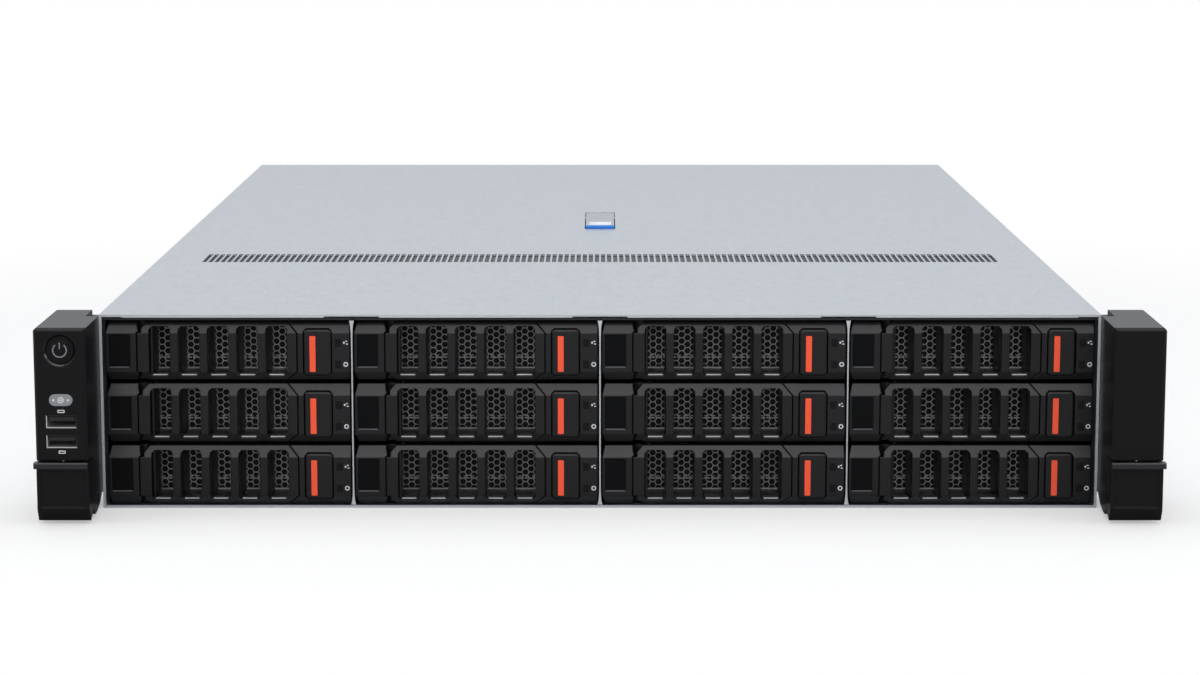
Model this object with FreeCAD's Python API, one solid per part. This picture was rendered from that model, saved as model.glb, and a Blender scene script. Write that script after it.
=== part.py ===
"""Two-unit rack server with twelve front drive bays.

Frame: +X to the right as seen from the front, +Y to the rear, +Z up. The origin lies on the underside,
at the centre of the outer box. All lengths are in millimetres. Every piece is drawn with Y = 0 on the
front plane of the chassis and is moved to the origin when it is written.
"""
import FreeCAD, Part
import math
import os

V = FreeCAD.Vector

# ---- Chassis -----------------------------------------------------------------------------------------
BODY_W = 437.0          # across the chassis side walls
BODY_H = 86.0           # underside to the top of the cover
BODY_L = 650.0          # front plane to the outside of the rear wall
SHEET = 1.2             # steel sheet of the base
COVER_SHEET = 1.0       # steel sheet of the top cover
SEAM = 0.1              # gap that keeps two seated sheets from sharing a face
BRACKET_SHEET = 2.0     # steel of the rack flanges
STANDOFF_H = 6.5
STANDOFF_R = 3.0
STUD_Y = (120.0, 300.0, 480.0, 620.0)   # hooked tabs for the slide rails, along each side
STUD_L = 6.0
STUD_H = (5.0, 10.0)    # height of a tab at the wall and at its flared end
STUD_OUT = 3.4
REAR_VENTS = 7
CARD_SLOTS = 3          # card windows in each of two stacks
CARD_SLOT_W = 108.0
CARD_SLOT_H = 12.0
CARD_SLOT_PITCH = 16.0
CARD_SLOT_Z0 = 34.0
CARD_STACK_PITCH = 124.0

# ---- Drive cage --------------------------------------------------------------------------------------
COLUMNS = 4
ROWS = 3
CAGE_WALL = 1.2
CAGE_TOP = 0.7          # sheet over the bays
CAGE_SIDE_BACK = 3.0    # outer walls behind the front plane
LEDGE_W = 4.0           # width of the runner that each carrier slides on
LEDGE_T = 1.0
LEDGE_START = 16.0      # how far behind the front plane the runners begin
CARRIER_CLEAR = 0.4     # carrier to cage, on each side
ROW_GAP = 1.8           # between one carrier front and the next one above
FIRST_ROW_Z = 1.7

# ---- Drive carrier -----------------------------------------------------------------------------------
BEZEL_H = 25.8
BEZEL_FACE = 0.4        # how far the front sits behind the front plane
BEZEL_D = 11.0          # depth of the plastic front
TOP_SLOPE_H = 4.9
TOP_SLOPE_D = 3.0
LOW_SLOPE_H = 3.7
LOW_SLOPE_D = 2.4
GROOVE = 0.5            # gap round the handle
LABEL_PAD = (1.1, 9.3, 5.7, 14.5)       # left, width, bottom, height of the bare label recess
LABEL_DEPTH = 0.5
TRAY_RAIL_T = 1.5
TRAY_RAIL_H = 20.0
TRAY_FRAME_LIP = 2.0    # plastic left over and under the air opening behind the handle
AIR_MARGIN = 3.0        # from the air opening to the handle's right end
SOCKET_WALL = 0.8       # plastic round the handle's hinge socket
LEFT_LEAN = 1.2         # how far the slopes are cut away at the carrier's left end
DRIVE_W = 101.6
DRIVE_L = 147.0
DRIVE_H = 25.4
DRIVE_START = 34.0      # front of the hard drive behind the front plane, behind the air passages

# ---- Carrier handle ----------------------------------------------------------------------------------
HANDLE_X0 = 13.6        # left end of the handle, from the carrier's left side
HANDLE_X1 = 83.1
HANDLE_BACK = 7.5
HANDLE_SLANT_L = 4.3    # how far the corners lean in over the slopes
HANDLE_SLANT_R = 4.4
KNUCKLE_R = 2.6          # the handle snaps into the carrier by a round knuckle along its left end
KNUCKLE_FIT = 0.35
PILL_STEPS = 6          # flats round each end of the locator button
ROUND_SIDES = 24        # flats round the power button
PIVOT_SIDES = 12        # flats round a moulded knuckle, pivot or pivot hole
NECK_LEFT = 0.8         # how far the neck reaches past the knuckle's centre
NECK_L = 5.0            # thin stretch between the knuckle and the full-depth grille
NECK_BACK = 0.6         # back of the neck behind the knuckle's centre
WINDOWS = 5
WINDOW_W = 9.3
WINDOW_FIRST = 18.6     # left edge of the first window, from the carrier's left side
WINDOW_PITCH = 12.75
WINDOW_LOW = 1.7        # plastic left under and over the windows
WINDOW_TOP = 2.1
WINDOW_CORNER = 1.3

# ---- Release button ----------------------------------------------------------------------------------
BUTTON_X0 = 86.3
BUTTON_W = 12.0
BUTTON_Z0 = 2.3
BUTTON_H = 20.2
BUTTON_CORNER = 1.2     # corners cut off by this much
BUTTON_D = 5.0
BUTTON_CLEAR = 0.35
BUTTON_TRAVEL = 2.0
BUTTON_FACE = 0.1       # the button stands nearly at the front plane

# ---- Backplane and connectors ------------------------------------------------------------------------
BACKPLANE_T = 2.4
BACKPLANE_GAP = 5.0     # drive to circuit board
CONNECTOR = (32.0, 4.6, 6.0)            # width, depth, height of a drive connector

# ---- Rack ears ---------------------------------------------------------------------------------------
EAR_W = 22.5            # from the chassis side to the outside of the ear
EAR_FORWARD = 35.0      # ear front ahead of the front plane
EAR_Z0 = 1.5
EAR_Z1 = 85.5
EAR_WALL = 2.0
EAR_BEVEL = 1.2
FLANGE_Y = 20.0         # back face of the rack flange, which meets the rack post
FLANGE_NOTCH = 5.5      # the ear's rear part leaves this much room beside the chassis
BRACKET_L = 70.0
LEVER_H = 26.1          # height of the lever, lip included
LEVER_GAP = 0.6
LEVER_PLATE = 2.2
LEVER_CHEEK_D = 10.0
LEVER_CHEEK_T = 1.8
LEVER_CORNER_STEPS = 5  # flats round the cheeks' lower rear corner
LEVER_LIP_H = 3.0
LEVER_LIP_OUT = 2.5
LEVER_LIP_SIDE = 0.8
LEVER_BAND_H = 5.0      # sloped band along the bottom of the lever
LEVER_BAND_D = 3.0
LEVER_PANEL_DEPTH = 0.5
LEVER_AXIS_BACK = 6.5   # hinge axis behind the ear's front
LEVER_AXIS_UP = 5.0     # and above the ear's underside
LEVER_PIN_R = 1.2
LEVER_FIT = 0.3
LUG_R = 2.6
LUG_T = 2.0
POWER_R = 5.85
POWER_CAP_R = 4.2
POWER_SUNK = 1.0        # outer ring of the button behind the ear's front
POWER_CLEAR = 0.15
POWER_RING_R = 6.95
POWER_DOWN = 9.6        # centre below the top of the ear
POWER_TRAVEL = 1.5
ID_DOWN = 31.0
ID_W = 10.2
ID_H = 5.1
ID_TRAVEL = 1.0
ID_CLEAR = 0.15
POWER_COLLAR = 3.0      # back of each button's collar behind the ear's wall
ID_COLLAR = 2.0
EAR_BOARD_W = 17.0
USB_DOWN = (40.4, 49.0)
USB_W = 13.15
USB_H = 5.65
USB_SHELL = 0.4
USB_L = 14.0
USB_TONGUE = (11.2, 1.8)

# ---- Rack screws -------------------------------------------------------------------------------------
SCREW_ASIDE = 2.8       # from the middle of an ear out to its rack screw
SCREW_UP = 20.8         # second hole of the lower rack unit, above the underside
SCREW_R = 2.95
SCREW_NECK_R = 2.4      # thinner neck that keeps the screw captive in the flange
SCREW_HOLE_R = 3.6
SCREW_HEAD_R = 5.0      # over the corners of the hexagon
SCREW_HEAD_L = 6.0
SCREW_OUT = 12.0        # thread that stands out behind the flange

# ---- Top cover ---------------------------------------------------------------------------------------
SLOTS = 130
SLOT_PITCH = 3.02
SLOT_W = 2.1
SLOT_L = 30.0
SLOT_Y0 = 174.0         # front end of the slot row
COVER_LIP = 0.3         # how far the front edge is folded below the sheet
COVER_LIP_T = 1.2
NOTCH_W = 24.0
SIDE_FOLD_H = 9.0
SIDE_FOLD_GAP = 0.4
STRIP_FRONT_GAP = 5.0
STRIP_REAR_GAP = 20.0
LATCH_Y0 = 309.0
LATCH_L = 76.0
LATCH_W = 15.4
LATCH_GAP = 0.5
LATCH_DEEP = 6.5
LATCH_LIP_UP = 1.8
LATCH_LIP_T = 3.0
LATCH_HOLLOW = 26.0     # finger hollow behind the lip
LATCH_PIN_R = 1.4
LATCH_HEEL_R = 3.4
LATCH_FIT = 0.3

# ---- Fans --------------------------------------------------------------------------------------------
FANS = 4
FAN_SIZE = 80.0
FAN_DEPTH = 38.0
FAN_Y0 = 214.0
FAN_BORE_R = 37.5
FAN_HUB_R = 17.0
FAN_BLADE_R = 36.0
DUCT_SIDES = 16
FAN_BLADES = 5
FAN_STATOR_R = 14.0
FAN_SIDE_GAP = 0.2      # fan frame to the wall that holds it
FAN_WALL_BACK = 2.0     # fan wall behind the fans' front

# ---- Boards ------------------------------------------------------------------------------------------
BOARD_T = 1.6
BOARD_X0 = -212.0
BOARD_X1 = 132.0
BOARD_Y0 = 268.0
BOARD_REAR_GAP = 1.5
SINK_W = 92.0
SINK_L = 100.0
SINK_H = 60.0
SINK_BASE = 4.0
SINK_FINS = 11
SINK_FIN_T = 1.0
SINK_X = (-112.0, 46.0)
SINK_Y0 = 330.0
DIMM_L = 133.35
DIMM_H = 31.25
DIMM_T = 4.0
DIMM_PITCH = 8.4
DIMM_FIRST = 6.5         # heatsink's side to the first module's middle
DIMMS_PER_SIDE = 3
DIMM_SOCKET = (6.6, 141.0, 3.0)         # width, length, height

# ---- Power supplies ----------------------------------------------------------------------------------
PSU_W = 73.5
PSU_H = 39.5
PSU_L = 185.0
PSU_X0 = 140.5
PSU_SHELF = 0.8         # sheet between the two supplies and beside them
PSU_HANDLE = 22.0       # how far the handle stands out at the rear
INLET_W = 24.4
INLET_H = 16.4
INLET_DEEP = 15.0

# ---- Worked out from the sizes above -----------------------------------------------------------------
HALF_W = BODY_W / 2
INNER_HALF = HALF_W - SHEET
COVER_Z0 = BODY_H - COVER_SHEET
WALL_TOP = COVER_Z0 - SEAM
BAY_PITCH = (2 * INNER_HALF - CAGE_WALL) / COLUMNS
BAY_W = BAY_PITCH - CAGE_WALL
ROW_PITCH = BEZEL_H + ROW_GAP
BEZEL_W = BAY_W - 2 * CARRIER_CLEAR
CAGE_TOP_Z1 = COVER_Z0 - COVER_LIP - 0.4
CAGE_TOP_Z0 = CAGE_TOP_Z1 - CAGE_TOP
HANDLE_AXIS = (HANDLE_X0 + KNUCKLE_R, BEZEL_FACE + KNUCKLE_R)
DRIVE_END = DRIVE_START + DRIVE_L
BACKPLANE_Y = DRIVE_END + BACKPLANE_GAP
EAR_X0 = HALF_W
EAR_X1 = HALF_W + EAR_W
EAR_MID = (EAR_X0 + EAR_X1) / 2
RACK_PITCH = 2 * (EAR_MID + SCREW_ASIDE)   # between the rack screws, across the rack
LEVER_Z1 = EAR_Z0 + LEVER_H
LEVER_AXIS_Y = -EAR_FORWARD + LEVER_AXIS_BACK
LEVER_AXIS_Z = EAR_Z0 + LEVER_AXIS_UP
LATCH_Y1 = LATCH_Y0 + LATCH_L
LATCH_AXIS_Y = LATCH_Y1 - LATCH_HEEL_R - 0.2
LATCH_AXIS_Z = BODY_H - LATCH_HEEL_R
PSU_Z0 = SHEET + SEAM
PSU_PITCH = PSU_H + PSU_SHELF + 2 * SEAM
FAN_PITCH = 2 * INNER_HALF / FANS
FAN_Z = SHEET + SEAM + FAN_SIZE / 2
BOARD_Z0 = SHEET + STANDOFF_H
BOARD_Z1 = BOARD_Z0 + BOARD_T
BOARD_Y1 = BODY_L - SHEET - BOARD_REAR_GAP
FRONT_REACH = EAR_FORWARD + LEVER_LIP_OUT
REAR_REACH = BODY_L + PSU_HANDLE
Y_SHIFT = (FRONT_REACH - REAR_REACH) / 2


# ---- Small helpers -----------------------------------------------------------------------------------
def box(x0, x1, y0, y1, z0, z1):
    """Return a block between two corners."""
    return Part.makeBox(x1 - x0, y1 - y0, z1 - z0, V(x0, y0, z0))


def prism_x(outline, x0, x1):
    """Return an outline of (y, z) points drawn out along X."""
    points = [V(x0, y, z) for y, z in outline]
    return Part.Face(Part.makePolygon(points + points[:1])).extrude(V(x1 - x0, 0, 0))


def prism_y(outline, y0, y1):
    """Return an outline of (x, z) points drawn out along Y."""
    points = [V(x, y0, z) for x, z in outline]
    return Part.Face(Part.makePolygon(points + points[:1])).extrude(V(0, y1 - y0, 0))


def prism_z(outline, z0, z1):
    """Return an outline of (x, y) points drawn out along Z."""
    points = [V(x, y, z0) for x, y in outline]
    return Part.Face(Part.makePolygon(points + points[:1])).extrude(V(0, 0, z1 - z0))


def rod_y(x, y0, y1, z, r):
    """Return a cylinder along Y."""
    return Part.makeCylinder(r, y1 - y0, V(x, y0, z), V(0, 1, 0))


def polygon(cx, cy, r, sides):
    """Return the corners of a regular polygon whose corners lie on the radius r."""
    turn = 2 * math.pi / sides
    return [(cx + r * math.cos(turn * k), cy + r * math.sin(turn * k)) for k in range(sides)]


def funnel_y(cx, cz, r0, r1, y0, y1):
    """Return a many-sided funnel along Y, of radius r0 at y0 and r1 at y1."""
    wires = [Part.makePolygon([V(x, y, z) for x, z in ring + ring[:1]])
             for ring, y in ((polygon(cx, cz, r0, ROUND_SIDES), y0), (polygon(cx, cz, r1, ROUND_SIDES), y1))]
    return Part.makeLoft(wires, True, True)


def cut_corner_rect(x0, x1, z0, z1, c):
    """Return the outline of a rectangle whose corners are cut off by the length c."""
    return [(x0 + c, z0), (x1 - c, z0), (x1, z0 + c), (x1, z1 - c),
            (x1 - c, z1), (x0 + c, z1), (x0, z1 - c), (x0, z0 + c)]


def pill_y(cx, cz, width, height, y0, y1):
    """Return a flat bar along Y with round ends."""
    r = height / 2
    half = width / 2 - r
    turn = math.pi / PILL_STEPS
    outline = [(cx + side * (half + r * math.sin(turn * k)), cz - side * r * math.cos(turn * k))
               for side in (1, -1) for k in range(PILL_STEPS + 1)]
    return prism_y(outline, y0, y1)


def fuse_all(shapes):
    """Return the union of several shapes."""
    return shapes[0].fuse(shapes[1:]).removeSplitter()


def mirrored(shape):
    """Return a shape's mirror image across the middle plane of the server."""
    return shape.mirror(V(0, 0, 0), V(1, 0, 0))


def moved(shape, x, y, z):
    """Return a shifted copy of a shape."""
    copy = shape.copy()
    copy.translate(V(x, y, z))
    return copy


def write(name, *solids):
    """Write one node, made of one or more solids, as a STEP file."""
    shape = solids[0] if len(solids) == 1 else Part.makeCompound(list(solids))
    moved(shape, 0, Y_SHIFT, 0).exportStep("parts/" + name + ".step")


# ---- Chassis base ------------------------------------------------------------------------------------
def rack_bracket():
    """Return the right-hand steel angle that carries the ear and meets the rack post."""
    z0 = EAR_Z0 + EAR_WALL
    z1 = EAR_Z1 - EAR_WALL - 0.3
    side = box(HALF_W, HALF_W + BRACKET_SHEET, FLANGE_Y - BRACKET_SHEET, FLANGE_Y + BRACKET_L, z0, z1)
    flange = box(HALF_W, EAR_X1 - EAR_WALL - 0.4, FLANGE_Y - BRACKET_SHEET, FLANGE_Y, z0, z1)
    hole = prism_y(polygon(RACK_PITCH / 2, SCREW_UP, SCREW_HOLE_R, 16), FLANGE_Y - 5, FLANGE_Y + 5)
    return side.fuse(flange).cut(hole).removeSplitter()


def rail_studs():
    """Return the flared tabs of one side wall, on which the slide rails hang."""
    z = BODY_H / 2
    x0, x1 = HALF_W, HALF_W + STUD_OUT
    inner, outer = (h / 2 for h in STUD_H)
    outline = [(x0, z - inner), (x1, z - outer), (x1, z + outer), (x0, z + inner)]
    return [prism_y(outline, y - STUD_L / 2, y + STUD_L / 2) for y in STUD_Y]


def card_slots():
    """Return the lower left corner (x, z) of every card window in the rear wall."""
    return [(BOARD_X0 + 10 + k * CARD_STACK_PITCH, CARD_SLOT_Z0 + row * CARD_SLOT_PITCH)
            for k in range(2) for row in range(CARD_SLOTS)]


def rear_openings():
    """Return the solids that pierce the rear wall."""
    y0 = BODY_L - 2 * SHEET
    y1 = BODY_L + SHEET
    cuts = [box(PSU_X0 - 0.6, PSU_X0 + PSU_W + 0.6, y0, y1, PSU_Z0 - 0.4, PSU_Z0 + 2 * PSU_PITCH - 0.2),
            box(BOARD_X0 + 8, BOARD_X1 - 20, y0, y1, BOARD_Z1 - 0.4, BOARD_Z1 + 17.0)]
    for x0, z0 in card_slots():
        cuts.append(box(x0, x0 + CARD_SLOT_W, y0, y1, z0, z0 + CARD_SLOT_H))
    vent_top = CARD_SLOT_Z0 + (CARD_SLOTS - 1) * CARD_SLOT_PITCH + CARD_SLOT_H
    for k in range(REAR_VENTS):
        x0 = BOARD_X0 + 258 + k * 11.0
        cuts.append(box(x0, x0 + 8.0, y0, y1, CARD_SLOT_Z0, vent_top))
    return cuts


def slot_covers():
    """Return the blank plates that close the card windows, with an air grille in each."""
    plates = []
    y0 = BODY_L - SHEET - 1.0
    for x0, z0 in card_slots():
        plate = box(x0 - 1.5, x0 + CARD_SLOT_W + 1.5, y0, y0 + 1.0, z0 - 1.0, z0 + CARD_SLOT_H + 1.0)
        plates.append(plate.cut(box(x0 + 8, x0 + CARD_SLOT_W - 8, y0 - 1, y0 + 2, z0 + 3.5, z0 + 8.5)))
    return plates


def tray():
    """Return the floor and the two side walls, folded from one sheet."""
    outer = box(-HALF_W, HALF_W, 0, BODY_L - SHEET, 0, WALL_TOP)
    return outer.cut(box(-INNER_HALF, INNER_HALF, -1, BODY_L, SHEET, BODY_H))


def rear_panel():
    """Return the rear panel, which closes the end of the tray."""
    return box(-HALF_W, HALF_W, BODY_L - SHEET, BODY_L, 0, WALL_TOP).cut(rear_openings())


def fan_wall():
    """Return the upright plates beside and between the fans, so that air passes only through them."""
    fan_edges = [fan_x(k) + s * (FAN_SIZE / 2 + FAN_SIDE_GAP) for k in range(FANS) for s in (-1, 1)]
    edges = [-INNER_HALF] + fan_edges + [INNER_HALF]
    y0 = FAN_Y0 + FAN_WALL_BACK
    return [box(x0, x1, y0, y0 + SHEET, SHEET, FAN_Z + FAN_SIZE / 2)
            for x0, x1 in zip(edges[::2], edges[1::2])]


def supply_bay():
    """Return the wall beside the power supplies and the shelf between them."""
    x1 = PSU_X0 - SEAM
    y0 = BODY_L - PSU_L
    y1 = BODY_L - SHEET
    shelf_z = PSU_Z0 + PSU_H + SEAM
    return [box(x1 - PSU_SHELF, x1, y0, y1, SHEET, WALL_TOP - 1.0),
            box(x1, INNER_HALF, y0, y1, shelf_z, shelf_z + PSU_SHELF)]


def standoffs():
    """Return the six posts that carry the main board."""
    return [prism_z(polygon(x, y, STANDOFF_R, 6), SHEET, BOARD_Z0)
            for x in (BOARD_X0 + 10, (BOARD_X0 + BOARD_X1) / 2, BOARD_X1 - 10)
            for y in (BOARD_Y0 + 10, BOARD_Y1 - 40)]


def chassis_base():
    """Return the base: tray, rear panel and everything riveted or welded to them, a solid each."""
    right_side = [rack_bracket()] + rail_studs()
    return ([tray(), rear_panel()] + right_side + [mirrored(piece) for piece in right_side]
            + fan_wall() + supply_bay() + standoffs() + slot_covers())


# ---- Drive cage and backplane ------------------------------------------------------------------------
def bay_x(column):
    """Return the left inner face of one column of bays."""
    return -INNER_HALF + CAGE_WALL + column * BAY_PITCH


def row_z(row):
    """Return the underside of the carriers in one row, counted from the top."""
    return FIRST_ROW_Z + (ROWS - 1 - row) * ROW_PITCH


def drive_cage():
    """Return the upright walls, carrier runners and top sheet of the drive bays."""
    depth = BACKPLANE_Y - 1.0
    pieces = [box(-INNER_HALF, INNER_HALF, BEZEL_FACE, depth, CAGE_TOP_Z0, CAGE_TOP_Z1)]
    for k in range(COLUMNS + 1):
        x0 = -INNER_HALF + k * BAY_PITCH
        y0 = CAGE_SIDE_BACK if k in (0, COLUMNS) else 0.0
        pieces.append(box(x0, x0 + CAGE_WALL, y0, depth, SHEET, CAGE_TOP_Z1))
    for column in range(COLUMNS):
        x0 = bay_x(column)
        for row in range(ROWS - 1):
            z1 = row_z(row) - (ROW_GAP - LEDGE_T) / 2
            pieces.append(box(x0, x0 + LEDGE_W, LEDGE_START, depth, z1 - LEDGE_T, z1))
            pieces.append(box(x0 + BAY_W - LEDGE_W, x0 + BAY_W, LEDGE_START, depth, z1 - LEDGE_T, z1))
    return fuse_all(pieces)


def drive_backplane():
    """Return the circuit board behind the drives, with its air openings and drive connectors."""
    board = box(-INNER_HALF + 1, INNER_HALF - 1, BACKPLANE_Y, BACKPLANE_Y + BACKPLANE_T,
                SHEET + 1.0, CAGE_TOP_Z0 - 0.5)
    vents = []
    connectors = []
    width, depth, height = CONNECTOR
    for column in range(COLUMNS):
        for row in range(ROWS):
            x0 = bay_x(column)
            z0 = row_z(row)
            connectors.append(box(x0 + 10, x0 + 10 + width, BACKPLANE_Y - depth, BACKPLANE_Y,
                                  z0 + 3.0, z0 + 3.0 + height))
        vents.append(box(x0 + 48, x0 + BAY_W - 8, BACKPLANE_Y - 1, BACKPLANE_Y + BACKPLANE_T + 1,
                         FIRST_ROW_Z + 6.0, CAGE_TOP_Z0 - 8.0))
    return board.cut(vents).fuse(connectors).removeSplitter()


# ---- Drive carriers ----------------------------------------------------------------------------------
def bezel_bar(face, back):
    """Return the sloped front bar of a carrier, its left end leaning in over the slopes."""
    side = [(back, 0), (face + LOW_SLOPE_D, 0), (face, LOW_SLOPE_H), (face, BEZEL_H - TOP_SLOPE_H),
            (face + TOP_SLOPE_D, BEZEL_H), (back, BEZEL_H)]
    front = [(LEFT_LEAN, 0), (BEZEL_W, 0), (BEZEL_W, BEZEL_H), (LEFT_LEAN, BEZEL_H),
             (0, BEZEL_H - TOP_SLOPE_H), (0, LOW_SLOPE_H)]
    return prism_x(side, 0, BEZEL_W).common(prism_y(front, face - 1, back + 1))


def handle_outline(grow):
    """Return the handle's outline seen from the front, grown sideways by a gap."""
    x0 = HANDLE_X0 - grow
    x1 = HANDLE_X1 + grow
    z_low = LOW_SLOPE_H
    z_high = BEZEL_H - TOP_SLOPE_H
    return [(x0 + HANDLE_SLANT_L, 0), (x1 - HANDLE_SLANT_R, 0), (x1, z_low), (x1, z_high),
            (x1 - HANDLE_SLANT_R, BEZEL_H), (x0 + HANDLE_SLANT_L, BEZEL_H), (x0, z_high), (x0, z_low)]


def button_outline(grow):
    """Return the release button's outline seen from the front, grown by a gap."""
    return cut_corner_rect(BUTTON_X0 - grow, BUTTON_X0 + BUTTON_W + grow, BUTTON_Z0 - grow,
                           BUTTON_Z0 + BUTTON_H + grow, BUTTON_CORNER + grow / 2)


def carrier():
    """Return one drive carrier: plastic front with the handle's hinge socket, and the open tray behind."""
    gap_back = HANDLE_BACK + 1.0
    ax, ay = HANDLE_AXIS
    socket_x1 = ax + KNUCKLE_R + KNUCKLE_FIT + SOCKET_WALL
    socket_block = box(0, socket_x1, ay + NECK_BACK + KNUCKLE_FIT, BEZEL_D, -1, BEZEL_H + 1)
    gap = prism_y(handle_outline(GROOVE), -1, gap_back).cut(socket_block)
    socket = prism_z(polygon(ax, ay, KNUCKLE_R + KNUCKLE_FIT, PIVOT_SIDES), -1, BEZEL_H + 1)
    corner_r = math.hypot(ax - HANDLE_X0, ay - BEZEL_FACE)
    swept = prism_z(polygon(ax, ay, corner_r + KNUCKLE_FIT, PIVOT_SIDES), LOW_SLOPE_H - KNUCKLE_FIT,
                    BEZEL_H - TOP_SLOPE_H + KNUCKLE_FIT).common(box(0, ax, -1, BEZEL_D, 0, BEZEL_H))
    air = box(socket_x1, HANDLE_X1 - AIR_MARGIN, gap_back - 1, BEZEL_D + 1,
              TRAY_FRAME_LIP, BEZEL_H - TRAY_FRAME_LIP)
    left, width, low, height = LABEL_PAD
    label = box(left, left + width, -1, BEZEL_FACE + LABEL_DEPTH, low, low + height)
    pocket = prism_y(button_outline(BUTTON_CLEAR), -1, BUTTON_D + BUTTON_TRAVEL + 0.8)
    front = bezel_bar(BEZEL_FACE, BEZEL_D).cut([gap, socket, swept, air, label, pocket])
    side_gap = (BEZEL_W - DRIVE_W) / 2
    rails = [box(x, x + TRAY_RAIL_T, BEZEL_D - 0.5, DRIVE_END, 0, TRAY_RAIL_H)
             for x in (side_gap - TRAY_RAIL_T, BEZEL_W - side_gap)]
    return fuse_all([front] + rails)


def hard_drive():
    """Return the hard drive that sits between the carrier's rails."""
    x0 = (BEZEL_W - DRIVE_W) / 2
    body = box(x0, x0 + DRIVE_W, DRIVE_START, DRIVE_END, (BEZEL_H - DRIVE_H) / 2, (BEZEL_H + DRIVE_H) / 2)
    return body


def carrier_handle():
    """Return the hinged grille that opens the carrier."""
    ax, ay = HANDLE_AXIS
    bar = bezel_bar(BEZEL_FACE, HANDLE_BACK).common(prism_y(handle_outline(0), -1, HANDLE_BACK + 1))
    neck = box(ax - NECK_LEFT, ax + NECK_L, -1, ay + NECK_BACK, -1, BEZEL_H + 1)
    grille = box(ax + NECK_L, BEZEL_W, -1, HANDLE_BACK + 1, -1, BEZEL_H + 1)
    knuckle = prism_z(polygon(ax, ay, KNUCKLE_R, PIVOT_SIDES), LOW_SLOPE_H, BEZEL_H - TOP_SLOPE_H)
    corner = box(HANDLE_X0, ax, BEZEL_FACE, ay, LOW_SLOPE_H, BEZEL_H - TOP_SLOPE_H)
    bar = bar.common(fuse_all([grille, neck, knuckle, corner]))
    windows = []
    for k in range(WINDOWS):
        x0 = WINDOW_FIRST + k * WINDOW_PITCH
        outline = cut_corner_rect(x0, x0 + WINDOW_W, WINDOW_LOW, BEZEL_H - WINDOW_TOP, WINDOW_CORNER)
        windows.append(prism_y(outline, -1, HANDLE_BACK + 1))
    return bar.cut(windows).removeSplitter()


def release_button():
    """Return the button that lets the handle spring open."""
    return prism_y(button_outline(0), BUTTON_FACE, BUTTON_FACE + BUTTON_D)


# ---- Rack ears ---------------------------------------------------------------------------------------
def ear_shell():
    """Return the right-hand ear housing, with no controls in it."""
    front = -EAR_FORWARD
    bay_z = LEVER_Z1 + LEVER_GAP
    x0 = EAR_X0 + 0.15
    outline = [(x0, front), (EAR_X1, front), (EAR_X1, FLANGE_Y - BRACKET_SHEET - 0.1),
               (x0 + FLANGE_NOTCH, FLANGE_Y - BRACKET_SHEET - 0.1), (x0 + FLANGE_NOTCH, -0.6), (x0, -0.6)]
    block = prism_z(outline, bay_z, EAR_Z1)
    bevels = [e for e in block.Edges if e.BoundBox.YMax < front + 0.01
              and (e.BoundBox.ZMin > EAR_Z1 - 0.01 or e.BoundBox.ZLength > 1)]
    bevels += [e for e in block.Edges if e.BoundBox.ZMin > EAR_Z1 - 0.01 and e.BoundBox.XMin > EAR_X1 - 0.01]
    block = block.makeChamfer(EAR_BEVEL, bevels)
    hollow = box(x0 + EAR_WALL, EAR_X1 - EAR_WALL, front + EAR_WALL, -2.6, bay_z + EAR_WALL,
                 EAR_Z1 - EAR_WALL)
    rear = box(x0 + FLANGE_NOTCH + EAR_WALL, EAR_X1 - EAR_WALL, -2.7, FLANGE_Y, bay_z + EAR_WALL,
               EAR_Z1 - EAR_WALL)
    upper = block.cut([hollow, rear])
    wall_front = front + LEVER_CHEEK_D + 0.4
    back = FLANGE_Y - BRACKET_SHEET - 0.1
    underside = [(wall_front, EAR_Z0 + 3.0), (wall_front + 4, EAR_Z0 + 0.3), (-16.0, EAR_Z0 + 0.5),
                 (-8.0, EAR_Z0 + 2.4), (-0.6, EAR_Z0 + 6.5)]
    inner_wall = prism_x(underside + [(-0.6, bay_z + 0.5), (wall_front, bay_z + 0.5)], x0, x0 + EAR_WALL)
    outer_wall = prism_x(underside + [(back, EAR_Z0 + 6.5), (back, bay_z + 0.5), (wall_front, bay_z + 0.5)],
                         EAR_X1 - EAR_WALL, EAR_X1)
    floor = prism_x(underside[1:] + [(y, z + 1.6) for y, z in reversed(underside[1:])],
                    x0 + EAR_WALL - 0.1, EAR_X1 - EAR_WALL + 0.1)
    cheek = LEVER_CHEEK_T + 0.4
    lugs = []
    for a, root_a, root_b in ((x0 + cheek, x0 + EAR_WALL - 0.1, x0 + cheek + LUG_T),
                              (EAR_X1 - cheek - LUG_T, EAR_X1 - cheek - LUG_T, EAR_X1 - EAR_WALL + 0.1)):
        arm = box(a, a + LUG_T, LEVER_AXIS_Y, wall_front + 4, LEVER_AXIS_Z - LUG_R, LEVER_AXIS_Z + LUG_R)
        root = box(root_a, root_b, wall_front + 1, wall_front + 4, LEVER_AXIS_Z - LUG_R, LEVER_AXIS_Z + LUG_R)
        eye = prism_x(polygon(LEVER_AXIS_Y, LEVER_AXIS_Z, LUG_R, PIVOT_SIDES), a, a + LUG_T)
        bore = prism_x(polygon(LEVER_AXIS_Y, LEVER_AXIS_Z, LEVER_PIN_R + LEVER_FIT, PIVOT_SIDES),
                       a - 1, a + LUG_T + 1)
        lugs.append(arm.fuse([eye, root]).cut(bore))
    return fuse_all([upper, inner_wall, outer_wall, floor] + lugs)


def usb_z(k):
    """Return the centre height of one USB socket."""
    return EAR_Z1 - USB_DOWN[k]


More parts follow.
